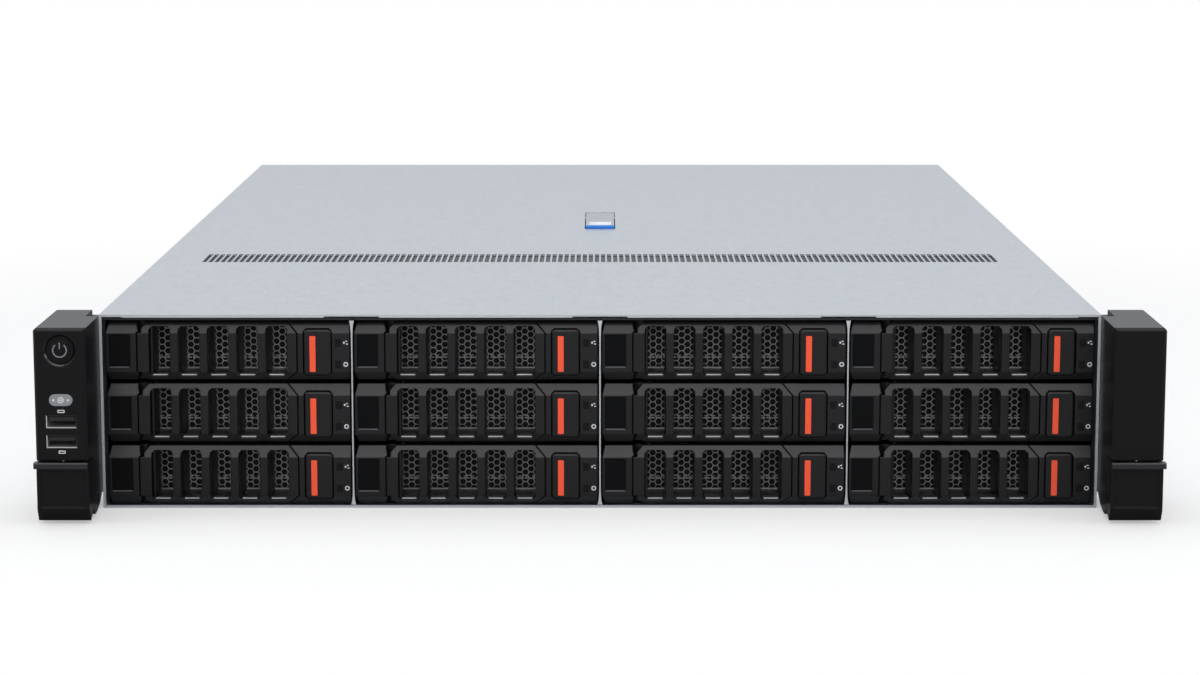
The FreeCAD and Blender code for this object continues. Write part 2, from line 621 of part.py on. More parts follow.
def left_ear_housing():
    """Return the left ear housing, pierced for the power button, the locator button and two sockets."""
    shell = mirrored(ear_shell())
    front = -EAR_FORWARD
    power_z = EAR_Z1 - POWER_DOWN
    id_z = EAR_Z1 - ID_DOWN
    bore_r = POWER_R + POWER_CLEAR
    cuts = [prism_y(polygon(-EAR_MID, power_z, bore_r, ROUND_SIDES), front - 1, front + EAR_WALL + 0.2),
            funnel_y(-EAR_MID, power_z, POWER_RING_R, bore_r, front, front + POWER_RING_R - bore_r),
            pill_y(-EAR_MID, id_z, ID_W + 2 * ID_CLEAR, ID_H + 2 * ID_CLEAR, front - 1,
                   front + EAR_WALL + 0.2)]
    for k in range(2):
        cuts.append(box(-EAR_MID - USB_W / 2, -EAR_MID + USB_W / 2, front - 1, front + EAR_WALL + 0.2,
                        usb_z(k) - USB_H / 2, usb_z(k) + USB_H / 2))
    return shell.cut(cuts)


def ear_lever():
    """Return the right-hand lever that covers the rack screw."""
    front = -EAR_FORWARD
    x0 = EAR_X0 + 0.15
    back = front + LEVER_CHEEK_D
    z_top = LEVER_Z1
    z_band = EAR_Z0 + LEVER_BAND_H
    plate = [(front, z_band), (front, z_top - LEVER_LIP_H),
             (front - LEVER_LIP_OUT, z_top - LEVER_LIP_H + 0.4),
             (front - LEVER_LIP_OUT, z_top - 0.5), (front - LEVER_LIP_OUT + 0.5, z_top),
             (front + LEVER_PLATE, z_top), (front + LEVER_PLATE, z_band + 0.5),
             (front + LEVER_BAND_D + 1.0, EAR_Z0 + 0.9), (front + LEVER_BAND_D, EAR_Z0)]
    face = prism_x(plate, x0, EAR_X1)
    panel = box(x0 + 1.8, EAR_X1 - 1.8, front - 0.01, front + LEVER_PANEL_DEPTH, z_band + 1.2,
                z_top - LEVER_LIP_H - 1.2)
    lip_end = prism_x(plate[1:6] + [(front + 1.5, z_top), (front + 1.5, z_top - LEVER_LIP_H)],
                      EAR_X1 - 0.1, EAR_X1 + LEVER_LIP_SIDE)
    ay = LEVER_AXIS_Y
    az = LEVER_AXIS_Z
    corner_r = back - ay
    turn = math.pi / 2 / LEVER_CORNER_STEPS
    side = [(ay + corner_r * math.cos(turn * k), az - corner_r * math.sin(turn * k))
            for k in range(LEVER_CORNER_STEPS + 1)]
    side += [(front + LEVER_BAND_D + 0.5, EAR_Z0 + 0.02), (front + 0.4, z_band), (front + 0.4, z_top),
             (back, z_top)]
    cheeks = [prism_x(side, x, x + LEVER_CHEEK_T) for x in (x0, EAR_X1 - LEVER_CHEEK_T)]
    pin_reach = LEVER_CHEEK_T + 0.4 + LUG_T
    pin = polygon(ay, az, LEVER_PIN_R, PIVOT_SIDES)
    pins = [prism_x(pin, x0 + LEVER_CHEEK_T - 0.1, x0 + pin_reach),
            prism_x(pin, EAR_X1 - pin_reach, EAR_X1 - LEVER_CHEEK_T + 0.1)]
    return fuse_all([face.cut(panel), lip_end] + cheeks + pins)


def rack_screw():
    """Return the right-hand captive screw with its hexagon head."""
    x = RACK_PITCH / 2
    head_back = FLANGE_Y - BRACKET_SHEET - 0.3
    head = prism_y(polygon(x, SCREW_UP, SCREW_HEAD_R, 6), head_back - SCREW_HEAD_L, head_back)
    neck = prism_y(polygon(x, SCREW_UP, SCREW_NECK_R, 8), head_back - 0.1, FLANGE_Y + 0.6)
    thread = rod_y(x, FLANGE_Y + 0.5, FLANGE_Y + SCREW_OUT, SCREW_UP, SCREW_R)
    return fuse_all([head, neck, thread])


def power_button():
    """Return the round power button: a raised cap in a lower ring, with a square collar behind the wall."""
    front = -EAR_FORWARD
    z = EAR_Z1 - POWER_DOWN
    ring = prism_y(polygon(-EAR_MID, z, POWER_R, ROUND_SIDES), front + POWER_SUNK, front + EAR_WALL + 0.4)
    cap = prism_y(polygon(-EAR_MID, z, POWER_CAP_R, ROUND_SIDES), front + 0.3, front + POWER_SUNK + 0.1)
    half = POWER_R + 1.2
    collar = box(-EAR_MID - half, -EAR_MID + half, front + EAR_WALL + 0.3, front + EAR_WALL + POWER_COLLAR,
                 z - half, z + half)
    return fuse_all([ring, cap, collar])


def id_button():
    """Return the translucent locator button."""
    front = -EAR_FORWARD
    z = EAR_Z1 - ID_DOWN
    body = pill_y(-EAR_MID, z, ID_W, ID_H, front - 0.2, front + EAR_WALL + 0.4)
    collar = box(-EAR_MID - ID_W / 2 - 1, -EAR_MID + ID_W / 2 + 1, front + EAR_WALL + 0.3,
                 front + EAR_WALL + ID_COLLAR, z - ID_H / 2 - 1, z + ID_H / 2 + 1)
    return body.fuse(collar).removeSplitter()


def usb_socket(k):
    """Return one USB socket: metal shell with its tongue."""
    front = -EAR_FORWARD
    z = usb_z(k)
    x0 = -EAR_MID - USB_W / 2
    x1 = -EAR_MID + USB_W / 2
    fit = 0.05
    shell = box(x0 + fit, x1 - fit, front + 0.1, front + USB_L, z - USB_H / 2 + fit, z + USB_H / 2 - fit)
    cavity = box(x0 + USB_SHELL, x1 - USB_SHELL, front, front + USB_L - 1.5, z - USB_H / 2 + USB_SHELL,
                 z + USB_H / 2 - USB_SHELL)
    tongue_w, tongue_t = USB_TONGUE
    tongue = box(-EAR_MID - tongue_w / 2, -EAR_MID + tongue_w / 2, front + 1.2, front + USB_L - 1.0,
                 z + 0.2, z + 0.2 + tongue_t)
    return shell.cut(cavity).fuse(tongue).removeSplitter()


def ear_board():
    """Return the small circuit board in the left ear, with a switch behind each button."""
    front = -EAR_FORWARD
    y0 = front + USB_L + SEAM
    half = EAR_BOARD_W / 2
    low = usb_z(1) - USB_H / 2 - 2.0
    board = box(-EAR_MID - half, -EAR_MID + half, y0, y0 + BOARD_T, low, EAR_Z1 - EAR_WALL - 2.0)
    switches = []
    for z, button_back in ((EAR_Z1 - POWER_DOWN, POWER_COLLAR + POWER_TRAVEL), (EAR_Z1 - ID_DOWN, ID_COLLAR)):
        y1 = front + EAR_WALL + button_back + ID_TRAVEL + 0.8
        switches.append(box(-EAR_MID - 3, -EAR_MID + 3, y1, y0 + 0.1, z - 3, z + 3))
    return board.fuse(switches).removeSplitter()


# ---- Top cover and its latch -------------------------------------------------------------------------
def latch_pocket():
    """Return the size of the latch's pocket: half width, front, rear and floor."""
    return (LATCH_W / 2 + LATCH_GAP, LATCH_Y0 - LATCH_GAP, LATCH_Y1 + LATCH_GAP, COVER_Z0 - LATCH_DEEP)


def cover_plate():
    """Return the cover's sheet: folded front edge, slot row and the opening over the latch."""
    lip_z = COVER_Z0 - COVER_LIP
    plate = box(-HALF_W, HALF_W, 0, BODY_L, COVER_Z0, BODY_H)
    lip = box(-HALF_W + 10, HALF_W - 10, 0, COVER_LIP_T, lip_z, COVER_Z0)
    notches = []
    for k in range(1, COLUMNS):
        x = -INNER_HALF + k * BAY_PITCH + CAGE_WALL / 2
        notches.append(box(x - NOTCH_W / 2, x + NOTCH_W / 2, -1, COVER_LIP_T + 1, lip_z - 1, COVER_Z0))
        notches.append(box(x - NOTCH_W / 2, x + NOTCH_W / 2, -1, 0.4, COVER_Z0 - 0.1, COVER_Z0 + 0.4))
    slot_x0 = -(SLOTS - 1) * SLOT_PITCH / 2
    slots = [box(slot_x0 + k * SLOT_PITCH - SLOT_W / 2, slot_x0 + k * SLOT_PITCH + SLOT_W / 2,
                 SLOT_Y0, SLOT_Y0 + SLOT_L, COVER_Z0 - 1, BODY_H + 1) for k in range(SLOTS)]
    half, y0, y1, _ = latch_pocket()
    opening = box(-half, half, y0, y1, COVER_Z0 - 1, BODY_H + 1)
    return plate.fuse(lip).cut(slots + notches + [opening]).removeSplitter()


def latch_pan():
    """Return the pressed pan welded under the cover, with the latch's pin across it."""
    half, y0, y1, floor = latch_pocket()
    pan = box(-half - COVER_SHEET, half + COVER_SHEET, y0 - COVER_SHEET, y1 + COVER_SHEET,
              floor - COVER_SHEET, COVER_Z0)
    pin = prism_x(polygon(LATCH_AXIS_Y, LATCH_AXIS_Z, LATCH_PIN_R, PIVOT_SIDES), -half - 0.2, half + 0.2)
    return pan.cut(box(-half, half, y0, y1, floor, BODY_H)).fuse(pin).removeSplitter()


def guide_strip():
    """Return the right-hand strip welded under the cover, which slides inside the chassis wall."""
    x1 = INNER_HALF - SIDE_FOLD_GAP
    y0 = FAN_Y0 + FAN_DEPTH + STRIP_FRONT_GAP
    return box(x1 - COVER_SHEET, x1, y0, BODY_L - STRIP_REAR_GAP, COVER_Z0 - SIDE_FOLD_H, COVER_Z0)


def cover_latch():
    """Return the latch handle, which lifts at its front lip and turns on a pin near its rear end."""
    axis_y = LATCH_AXIS_Y
    axis_z = LATCH_AXIS_Z
    under = BODY_H - 5.6
    lip_y = LATCH_Y0 + LATCH_LIP_T
    outline = [(LATCH_Y0, under + 1.5), (LATCH_Y0, BODY_H + LATCH_LIP_UP - 0.6),
               (LATCH_Y0 + 0.6, BODY_H + LATCH_LIP_UP), (lip_y, BODY_H + LATCH_LIP_UP), (lip_y + 1.5, BODY_H),
               (axis_y, BODY_H), (axis_y, under), (LATCH_Y0 + 1.5, under)]
    bar = prism_x(outline, -LATCH_W / 2, LATCH_W / 2)
    heel = prism_x(polygon(axis_y, axis_z, LATCH_HEEL_R, PIVOT_SIDES), -LATCH_W / 2, LATCH_W / 2)
    hollow_y0 = lip_y + 4.0
    hollow_outline = [(hollow_y0, BODY_H + 1), (hollow_y0, BODY_H - 3.2),
                      (hollow_y0 + LATCH_HOLLOW - 8, BODY_H - 3.2), (hollow_y0 + LATCH_HOLLOW, BODY_H + 1)]
    hollow = prism_x(hollow_outline, -LATCH_W / 2 + 1.6, LATCH_W / 2 - 1.6)
    bore = prism_x(polygon(axis_y, axis_z, LATCH_PIN_R + LATCH_FIT, PIVOT_SIDES), -LATCH_W, LATCH_W)
    return bar.fuse(heel).cut([hollow, bore]).removeSplitter()


# ---- Fans --------------------------------------------------------------------------------------------
def fan_x(k):
    """Return the centre of one fan across the chassis."""
    return -INNER_HALF + (k + 0.5) * FAN_PITCH


def fan_module(k):
    """Return one fan frame: square housing, round duct, motor seat and its three struts."""
    x = fan_x(k)
    half = FAN_SIZE / 2
    frame = box(x - half, x + half, FAN_Y0, FAN_Y0 + FAN_DEPTH, FAN_Z - half, FAN_Z + half)
    frame = frame.cut(prism_y(polygon(x, FAN_Z, FAN_BORE_R, DUCT_SIDES), FAN_Y0 - 1, FAN_Y0 + FAN_DEPTH + 1))
    y0 = FAN_Y0 + FAN_DEPTH - 4.0
    y1 = FAN_Y0 + FAN_DEPTH - 1.0
    seat = prism_y(polygon(x, FAN_Z, FAN_STATOR_R, 6), y0, y1)
    struts = []
    for n in range(3):
        strut = box(-1.5, 1.5, y0, y1, FAN_STATOR_R - 1, FAN_BORE_R + 1)
        strut.rotate(V(0, 0, 0), V(0, 1, 0), 120 * n + 60)
        struts.append(moved(strut, x, 0, FAN_Z))
    return fuse_all([frame, seat] + struts)


def fan_rotor(k):
    """Return one fan rotor: a hub with pitched blades."""
    x = fan_x(k)
    y0 = FAN_Y0 + 4.0
    y1 = FAN_Y0 + FAN_DEPTH - 4.6
    hub = prism_y(polygon(0, 0, FAN_HUB_R, 2 * FAN_BLADES), y0, y1)
    blades = []
    for n in range(FAN_BLADES):
        outline = [(-11.0, y0 + 3.0), (-9.4, y0 + 3.0), (11.0, y1 - 3.0), (9.4, y1 - 3.0)]
        blade = prism_z(outline, FAN_HUB_R - 4.5, FAN_BLADE_R - 1.5)
        blade.rotate(V(0, 0, 0), V(0, 1, 0), 360.0 * n / FAN_BLADES)
        blades.append(blade)
    return moved(fuse_all([hub] + blades), x, 0, FAN_Z)


# ---- Boards ------------------------------------------------------------------------------------------
def dimm_x():
    """Return the middle of every memory module across the board."""
    return [x + side * (SINK_W / 2 + DIMM_FIRST + k * DIMM_PITCH)
            for x in SINK_X for side in (-1, 1) for k in range(DIMMS_PER_SIDE)]


def slab(x, width, length, z0, z1):
    """Return an upright block centred on x and on the middle of the heatsinks' length."""
    y = SINK_Y0 + SINK_L / 2
    return box(x - width / 2, x + width / 2, y - length / 2, y + length / 2, z0, z1)


def motherboard():
    """Return the main board with its rear connectors, sockets and card risers."""
    board = box(BOARD_X0, BOARD_X1, BOARD_Y0, BOARD_Y1, BOARD_Z0, BOARD_Z1)
    width, length, height = DIMM_SOCKET
    extras = [slab(x, width, length, BOARD_Z1 - 0.01, BOARD_Z1 + height) for x in dimm_x()]
    for x in SINK_X:
        extras.append(box(x - 36, x + 36, SINK_Y0 + 14, SINK_Y0 + SINK_L - 14, BOARD_Z1, BOARD_Z1 + 5.0))
    rear = BODY_L - 0.4
    ports = ((-196, 15, 14.0), (-174, 15, 14.0), (-150, 16, 13.5), (-128, 16, 13.5), (-100, 31, 12.0),
             (-60, 16, 13.5))
    for x0, width, height in ports:
        extras.append(box(x0, x0 + width, BOARD_Y1 - 18, rear, BOARD_Z1 - 0.01, BOARD_Z1 + height))
    for x0 in (BOARD_X0 + 50, BOARD_X0 + 174):
        extras.append(box(x0, x0 + 1.6, BOARD_Y1 - 100, BOARD_Y1 - 12, BOARD_Z1 - 0.01, 82.0))
    return fuse_all([board] + extras)


def cpu_heatsink(x):
    """Return one finned heatsink."""
    z0 = BOARD_Z1 + 5.0
    base = box(x - SINK_W / 2, x + SINK_W / 2, SINK_Y0, SINK_Y0 + SINK_L, z0, z0 + SINK_BASE)
    pitch = (SINK_W - SINK_FIN_T) / (SINK_FINS - 1)
    fins = [box(x - SINK_W / 2 + k * pitch, x - SINK_W / 2 + k * pitch + SINK_FIN_T, SINK_Y0,
                SINK_Y0 + SINK_L, z0 + SINK_BASE - 0.1, z0 + SINK_H) for k in range(SINK_FINS)]
    return fuse_all([base] + fins)


def memory_modules():
    """Return the memory modules standing on their sockets on both sides of each processor."""
    z0 = BOARD_Z1 + DIMM_SOCKET[2]
    return [slab(x, DIMM_T, DIMM_L, z0, z0 + DIMM_H) for x in dimm_x()]


# ---- Power supplies ----------------------------------------------------------------------------------
def power_supply(k):
    """Return one plug-in power supply with its fan grille, mains inlet and pull handle."""
    x0 = PSU_X0
    z0 = PSU_Z0 + k * PSU_PITCH
    y1 = BODY_L
    y0 = y1 - PSU_L
    body = box(x0, x0 + PSU_W, y0, y1, z0, z0 + PSU_H)
    inlet_x = x0 + PSU_W - 18.0
    inlet_z = z0 + PSU_H / 2
    cavity = prism_y(cut_corner_rect(inlet_x - INLET_W / 2, inlet_x + INLET_W / 2, inlet_z - INLET_H / 2,
                                     inlet_z + INLET_H / 2, 3.0), y1 - INLET_DEEP, y1 + 1)
    fan_x0 = x0 + 20.0
    grille = []
    for row in range(5):
        slot_z = z0 + 5.5 + row * 6.0
        grille.append(box(fan_x0 - 15, fan_x0 + 15, y1 - 6, y1 + 1, slot_z, slot_z + 4.0))
    body = body.cut([cavity] + grille)
    pins = [box(inlet_x - 1, inlet_x + 1, y1 - INLET_DEEP - 0.1, y1 - 2, inlet_z + 1.5, inlet_z + 5.5)]
    for s in (-1, 1):
        pins.append(box(inlet_x + s * 7 - 1, inlet_x + s * 7 + 1, y1 - INLET_DEEP - 0.1, y1 - 2,
                        inlet_z - 4.5, inlet_z - 0.5))
    handle_x = x0 + 37.5
    arms = [box(handle_x, handle_x + 3.0, y1 - 0.1, y1 + PSU_HANDLE, z, z + 3.0)
            for z in (z0 + 3.0, z0 + PSU_H - 6.0)]
    grip = box(handle_x, handle_x + 3.0, y1 + PSU_HANDLE - 3.0, y1 + PSU_HANDLE, z0 + 3.0,
               z0 + PSU_H - 3.0)
    return fuse_all([body, grip] + pins + arms)


# ---- All nodes ---------------------------------------------------------------------------------------
def write_carriers():
    """Write the twelve carriers with their drives, handles and buttons, row by row from the top left."""
    pieces = {"drive_carrier_": [carrier(), hard_drive()], "carrier_handle_": [carrier_handle()],
              "release_button_": [release_button()]}
    for row in range(ROWS):
        for column in range(COLUMNS):
            number = row * COLUMNS + column + 1
            x = bay_x(column) + CARRIER_CLEAR
            for name, solids in pieces.items():
                write(name + str(number), *[moved(s, x, 0, row_z(row)) for s in solids])


def main():
    """Build every node of the server."""
    os.makedirs("parts", exist_ok=True)
    write("chassis_base", *chassis_base())
    write("drive_cage", drive_cage())
    write("drive_backplane", drive_backplane())
    write_carriers()
    write("left_ear_housing", left_ear_housing())
    write("right_ear_housing", ear_shell())
    lever = ear_lever()
    write("right_ear_lever", lever)
    write("left_ear_lever", mirrored(lever))
    screw = rack_screw()
    write("right_rack_screw", screw)
    write("left_rack_screw", mirrored(screw))
    write("power_button", power_button())
    write("id_button", id_button())
    write("ear_control_board", ear_board(), usb_socket(0), usb_socket(1))
    strip = guide_strip()
    write("top_cover", cover_plate(), latch_pan(), strip, mirrored(strip))
    write("cover_latch", cover_latch())
    write("fan_modules", *[fan_module(k) for k in range(FANS)])
    for k in range(FANS):
        write("fan_rotor_" + str(k + 1), fan_rotor(k))
    write("motherboard", motherboard())
    write("cpu_heatsinks", *[cpu_heatsink(x) for x in SINK_X])
    write("memory_modules", *memory_modules())
    for k in range(2):
        write("psu_" + str(k + 1), power_supply(k))


main()
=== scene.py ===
"""Looks of a two-unit rack server with twelve front drive bays.

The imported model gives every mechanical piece. This file gives each of them its finish, adds the fine pieces
that carry no load, and sets up the floor, the lamps and the camera. Everything is made in metres in the frame
of the model: +X to the right seen from the front, +Y to the rear, +Z up. The sizes in the fields are in
millimetres, and the studio's in metres.
"""

import logging
import math
from dataclasses import dataclass, field
from enum import Enum
from typing import Any, Callable, Mapping, Sequence, TypeAlias

import bmesh
import bpy
import numpy as np
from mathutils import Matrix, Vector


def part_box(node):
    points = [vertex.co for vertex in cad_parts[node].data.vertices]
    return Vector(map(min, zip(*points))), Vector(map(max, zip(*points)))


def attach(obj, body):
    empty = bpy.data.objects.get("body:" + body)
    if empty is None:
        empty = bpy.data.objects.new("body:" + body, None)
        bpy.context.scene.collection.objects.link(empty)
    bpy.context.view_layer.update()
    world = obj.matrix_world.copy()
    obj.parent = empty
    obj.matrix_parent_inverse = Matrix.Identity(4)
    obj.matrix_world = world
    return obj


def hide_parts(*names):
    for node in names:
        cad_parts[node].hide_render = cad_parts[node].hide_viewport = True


LOG = logging.getLogger("rack_server")
MM = 0.001
CARRIERS = 12
DEEP = (("Specular IOR Level", 0.22),)  # for black plastic that gives back little of the room
SQUARE_ON = 0.9  # share of a normal along an axis that counts as facing it
SUNK, PROUD = 0.02, 0.05  # how deep a print on an ear reaches in, and how far it stands out
Array: TypeAlias = np.ndarray
Pair: TypeAlias = tuple[float, float]
Triple: TypeAlias = tuple[float, float, float]
Four: TypeAlias = tuple[float, float, float, float]
Six: TypeAlias = tuple[float, float, float, float, float, float]
Tree: TypeAlias = bpy.types.NodeTree
Node: TypeAlias = bpy.types.Node
Socket: TypeAlias = bpy.types.NodeSocket


# ---- Colour and nodes ----
def linear(colour: str) -> Four:
    """Turn an sRGB hex colour into linear light.

    Args:
        colour: Six hex digits.

    Returns:
        Red, green, blue and an alpha of 1.
    """
    parts = np.array([int(colour[k:k + 2], 16) for k in (0, 2, 4)]) / 255
    light = np.where(parts <= 0.04045, parts / 12.92, ((parts + 0.055) / 1.055) ** 2.4)
    return (*light.tolist(), 1.0)


def add(tree: Tree, kind: str, settings: Mapping[str, Any] | None = None,
        inputs: Mapping[str | int, Any] | None = None) -> Node:
    """Add one node with its settings and what feeds it.

    Args:
        tree: Node tree that takes the node.
        kind: Type of the node.
        settings: Attributes of the node.
        inputs: For each socket, a value or the output socket that feeds it.

    Returns:
        The new node.
    """
    made = tree.nodes.new(kind)
    for name, value in (settings or {}).items():
        setattr(made, name, value)
    for name, value in (inputs or {}).items():
        if isinstance(value, Socket):
            tree.links.new(value, made.inputs[name])
        else:
            made.inputs[name].default_value = value
    return made


# ---- Finishes ----
@dataclass(frozen=True)
class Finish:
    """A surface finish: plain values on the shader's own sockets, and one pattern over them."""

    name: str
    colour: str
    shade: str  # mixed in by the pattern
    roughness: float
    metallic: float = 0.0
    grain_mm: float = 0.8
    bump_mm: float = 0.02  # height of the pattern's relief
    edge_mm: float = 0.0  # radius of the softened edges
    sockets: tuple[tuple[str, float], ...] = ()  # more of the shader's, with values

    def material(self) -> bpy.types.Material:
        """Return the material, made the first time it is asked for."""
        made = bpy.data.materials.get(self.name)
        if made is None:
            made = bpy.data.materials.new(self.name)
            made.use_nodes = True
            made.diffuse_color = linear(self.colour)
            shader = made.node_tree.nodes["Principled BSDF"]
            for socket, value in (("Base Color", linear(self.colour)), ("Roughness", self.roughness),
                                  ("Metallic", self.metallic), *self.sockets):
                shader.inputs[socket].default_value = value
            self.pattern(made.node_tree, shader, add(made.node_tree, "ShaderNodeTexCoord").outputs["Object"])
        return made

    def pattern(self, tree: Tree, shader: Node, place: Socket) -> None:
        """Mix the two colours by a noise of the grain's size and raise the surface by it.

        Args:
            tree: The material's node tree.
            shader: Its Principled shader.
            place: The piece's own coordinates.
        """
        noise = add(tree, "ShaderNodeTexNoise", {}, {
            "Vector": place, "Scale": 1 / (self.grain_mm * MM), "Detail": 3.0})
        self.finish(tree, shader, noise.outputs["Fac"], noise.outputs["Fac"])

    def finish(self, tree: Tree, shader: Node, tint: Socket, height: Socket,
               dull: Socket | None = None, spread: float = 0.0) -> None:
        """Link a tint and a height to the shader, and a variation of its roughness.

        Args:
            tree: The material's node tree.
            shader: Its Principled shader.
            tint: Share of the second colour, 0 to 1.
            height: Relief, 0 to 1.
            dull: What varies the roughness, 0 to 1.
            spread: By how much, up and down.
        """
        if dull is not None:
            rough = add(tree, "ShaderNodeMapRange", {}, {
                "Value": dull, "To Min": self.roughness - spread, "To Max": self.roughness + spread})
            tree.links.new(rough.outputs["Result"], shader.inputs["Roughness"])
        mix = add(tree, "ShaderNodeMix", {"data_type": "RGBA"}, {
            0: tint, 6: linear(self.colour), 7: linear(self.shade)})
        tree.links.new(mix.outputs[2], shader.inputs["Base Color"])
        bump = add(tree, "ShaderNodeBump", {}, {
            "Height": height, "Distance": self.bump_mm * MM, "Strength": 1.0})
        if self.edge_mm:
            edge = add(tree, "ShaderNodeBevel", {"samples": 6}, {"Radius": self.edge_mm * MM})
            tree.links.new(edge.outputs["Normal"], bump.inputs["Normal"])
        tree.links.new(bump.outputs["Normal"], shader.inputs["Normal"])


@dataclass(frozen=True)
class ZincSheet(Finish):
    """Hot-dip zinc on steel sheet: a faint mosaic of crystals, each a little lighter or duller."""

    crystal_mm: float = 2.2

    def pattern(self, tree: Tree, shader: Node, place: Socket) -> None:
        """Tint by crystal cells and a fine noise, and vary the roughness by the cells."""
        cells = add(tree, "ShaderNodeTexVoronoi", {"feature": "F1"}, {
            "Vector": place, "Scale": 1 / (self.crystal_mm * MM), "Randomness": 1.0})
        grey = add(tree, "ShaderNodeSeparateColor", {}, {"Color": cells.outputs["Color"]})
        noise = add(tree, "ShaderNodeTexNoise", {}, {
            "Vector": place, "Scale": 1 / (self.grain_mm * MM), "Detail": 2.0})
        both = add(tree, "ShaderNodeMath", {"operation": "MULTIPLY"}, {
            0: grey.outputs["Red"], 1: noise.outputs["Fac"]})
        self.finish(tree, shader, both.outputs["Value"], noise.outputs["Fac"], grey.outputs["Green"], 0.05)


@dataclass(frozen=True)
class DrawnMetal(Finish):
    """Metal with fine parallel marks from rolling, drawing or brushing, along one axis of the frame."""

    along: Triple = (0.04, 1.0, 1.0)

    def pattern(self, tree: Tree, shader: Node, place: Socket) -> None:
        """Stretch a noise along the marks, and use it for tint, roughness and relief."""
        drawn = add(tree, "ShaderNodeMapping", {}, {"Vector": place, "Scale": self.along})
        noise = add(tree, "ShaderNodeTexNoise", {}, {
            "Vector": drawn.outputs["Vector"], "Scale": 1 / (self.grain_mm * MM), "Detail": 2.0})
        value = noise.outputs["Fac"]
        self.finish(tree, shader, value, value, value, 0.06)


@dataclass(frozen=True)
class BoardLaminate(Finish):
    """Solder mask over copper: a mesh of slightly raised tracks in a lighter green."""

    track_mm: float = 4.0

    def pattern(self, tree: Tree, shader: Node, place: Socket) -> None:
        """Draw the tracks as the joints of a brick pattern."""
        tracks = add(tree, "ShaderNodeTexBrick", {"offset": 0.37, "squash": 1.6, "squash_frequency": 3}, {
            "Vector": place, "Scale": 1 / (self.track_mm * MM), "Mortar Size": 0.06,
            "Mortar Smooth": 0.2, "Brick Width": 1.3, "Row Height": 0.55})
        self.finish(tree, shader, tracks.outputs["Fac"], tracks.outputs["Fac"])


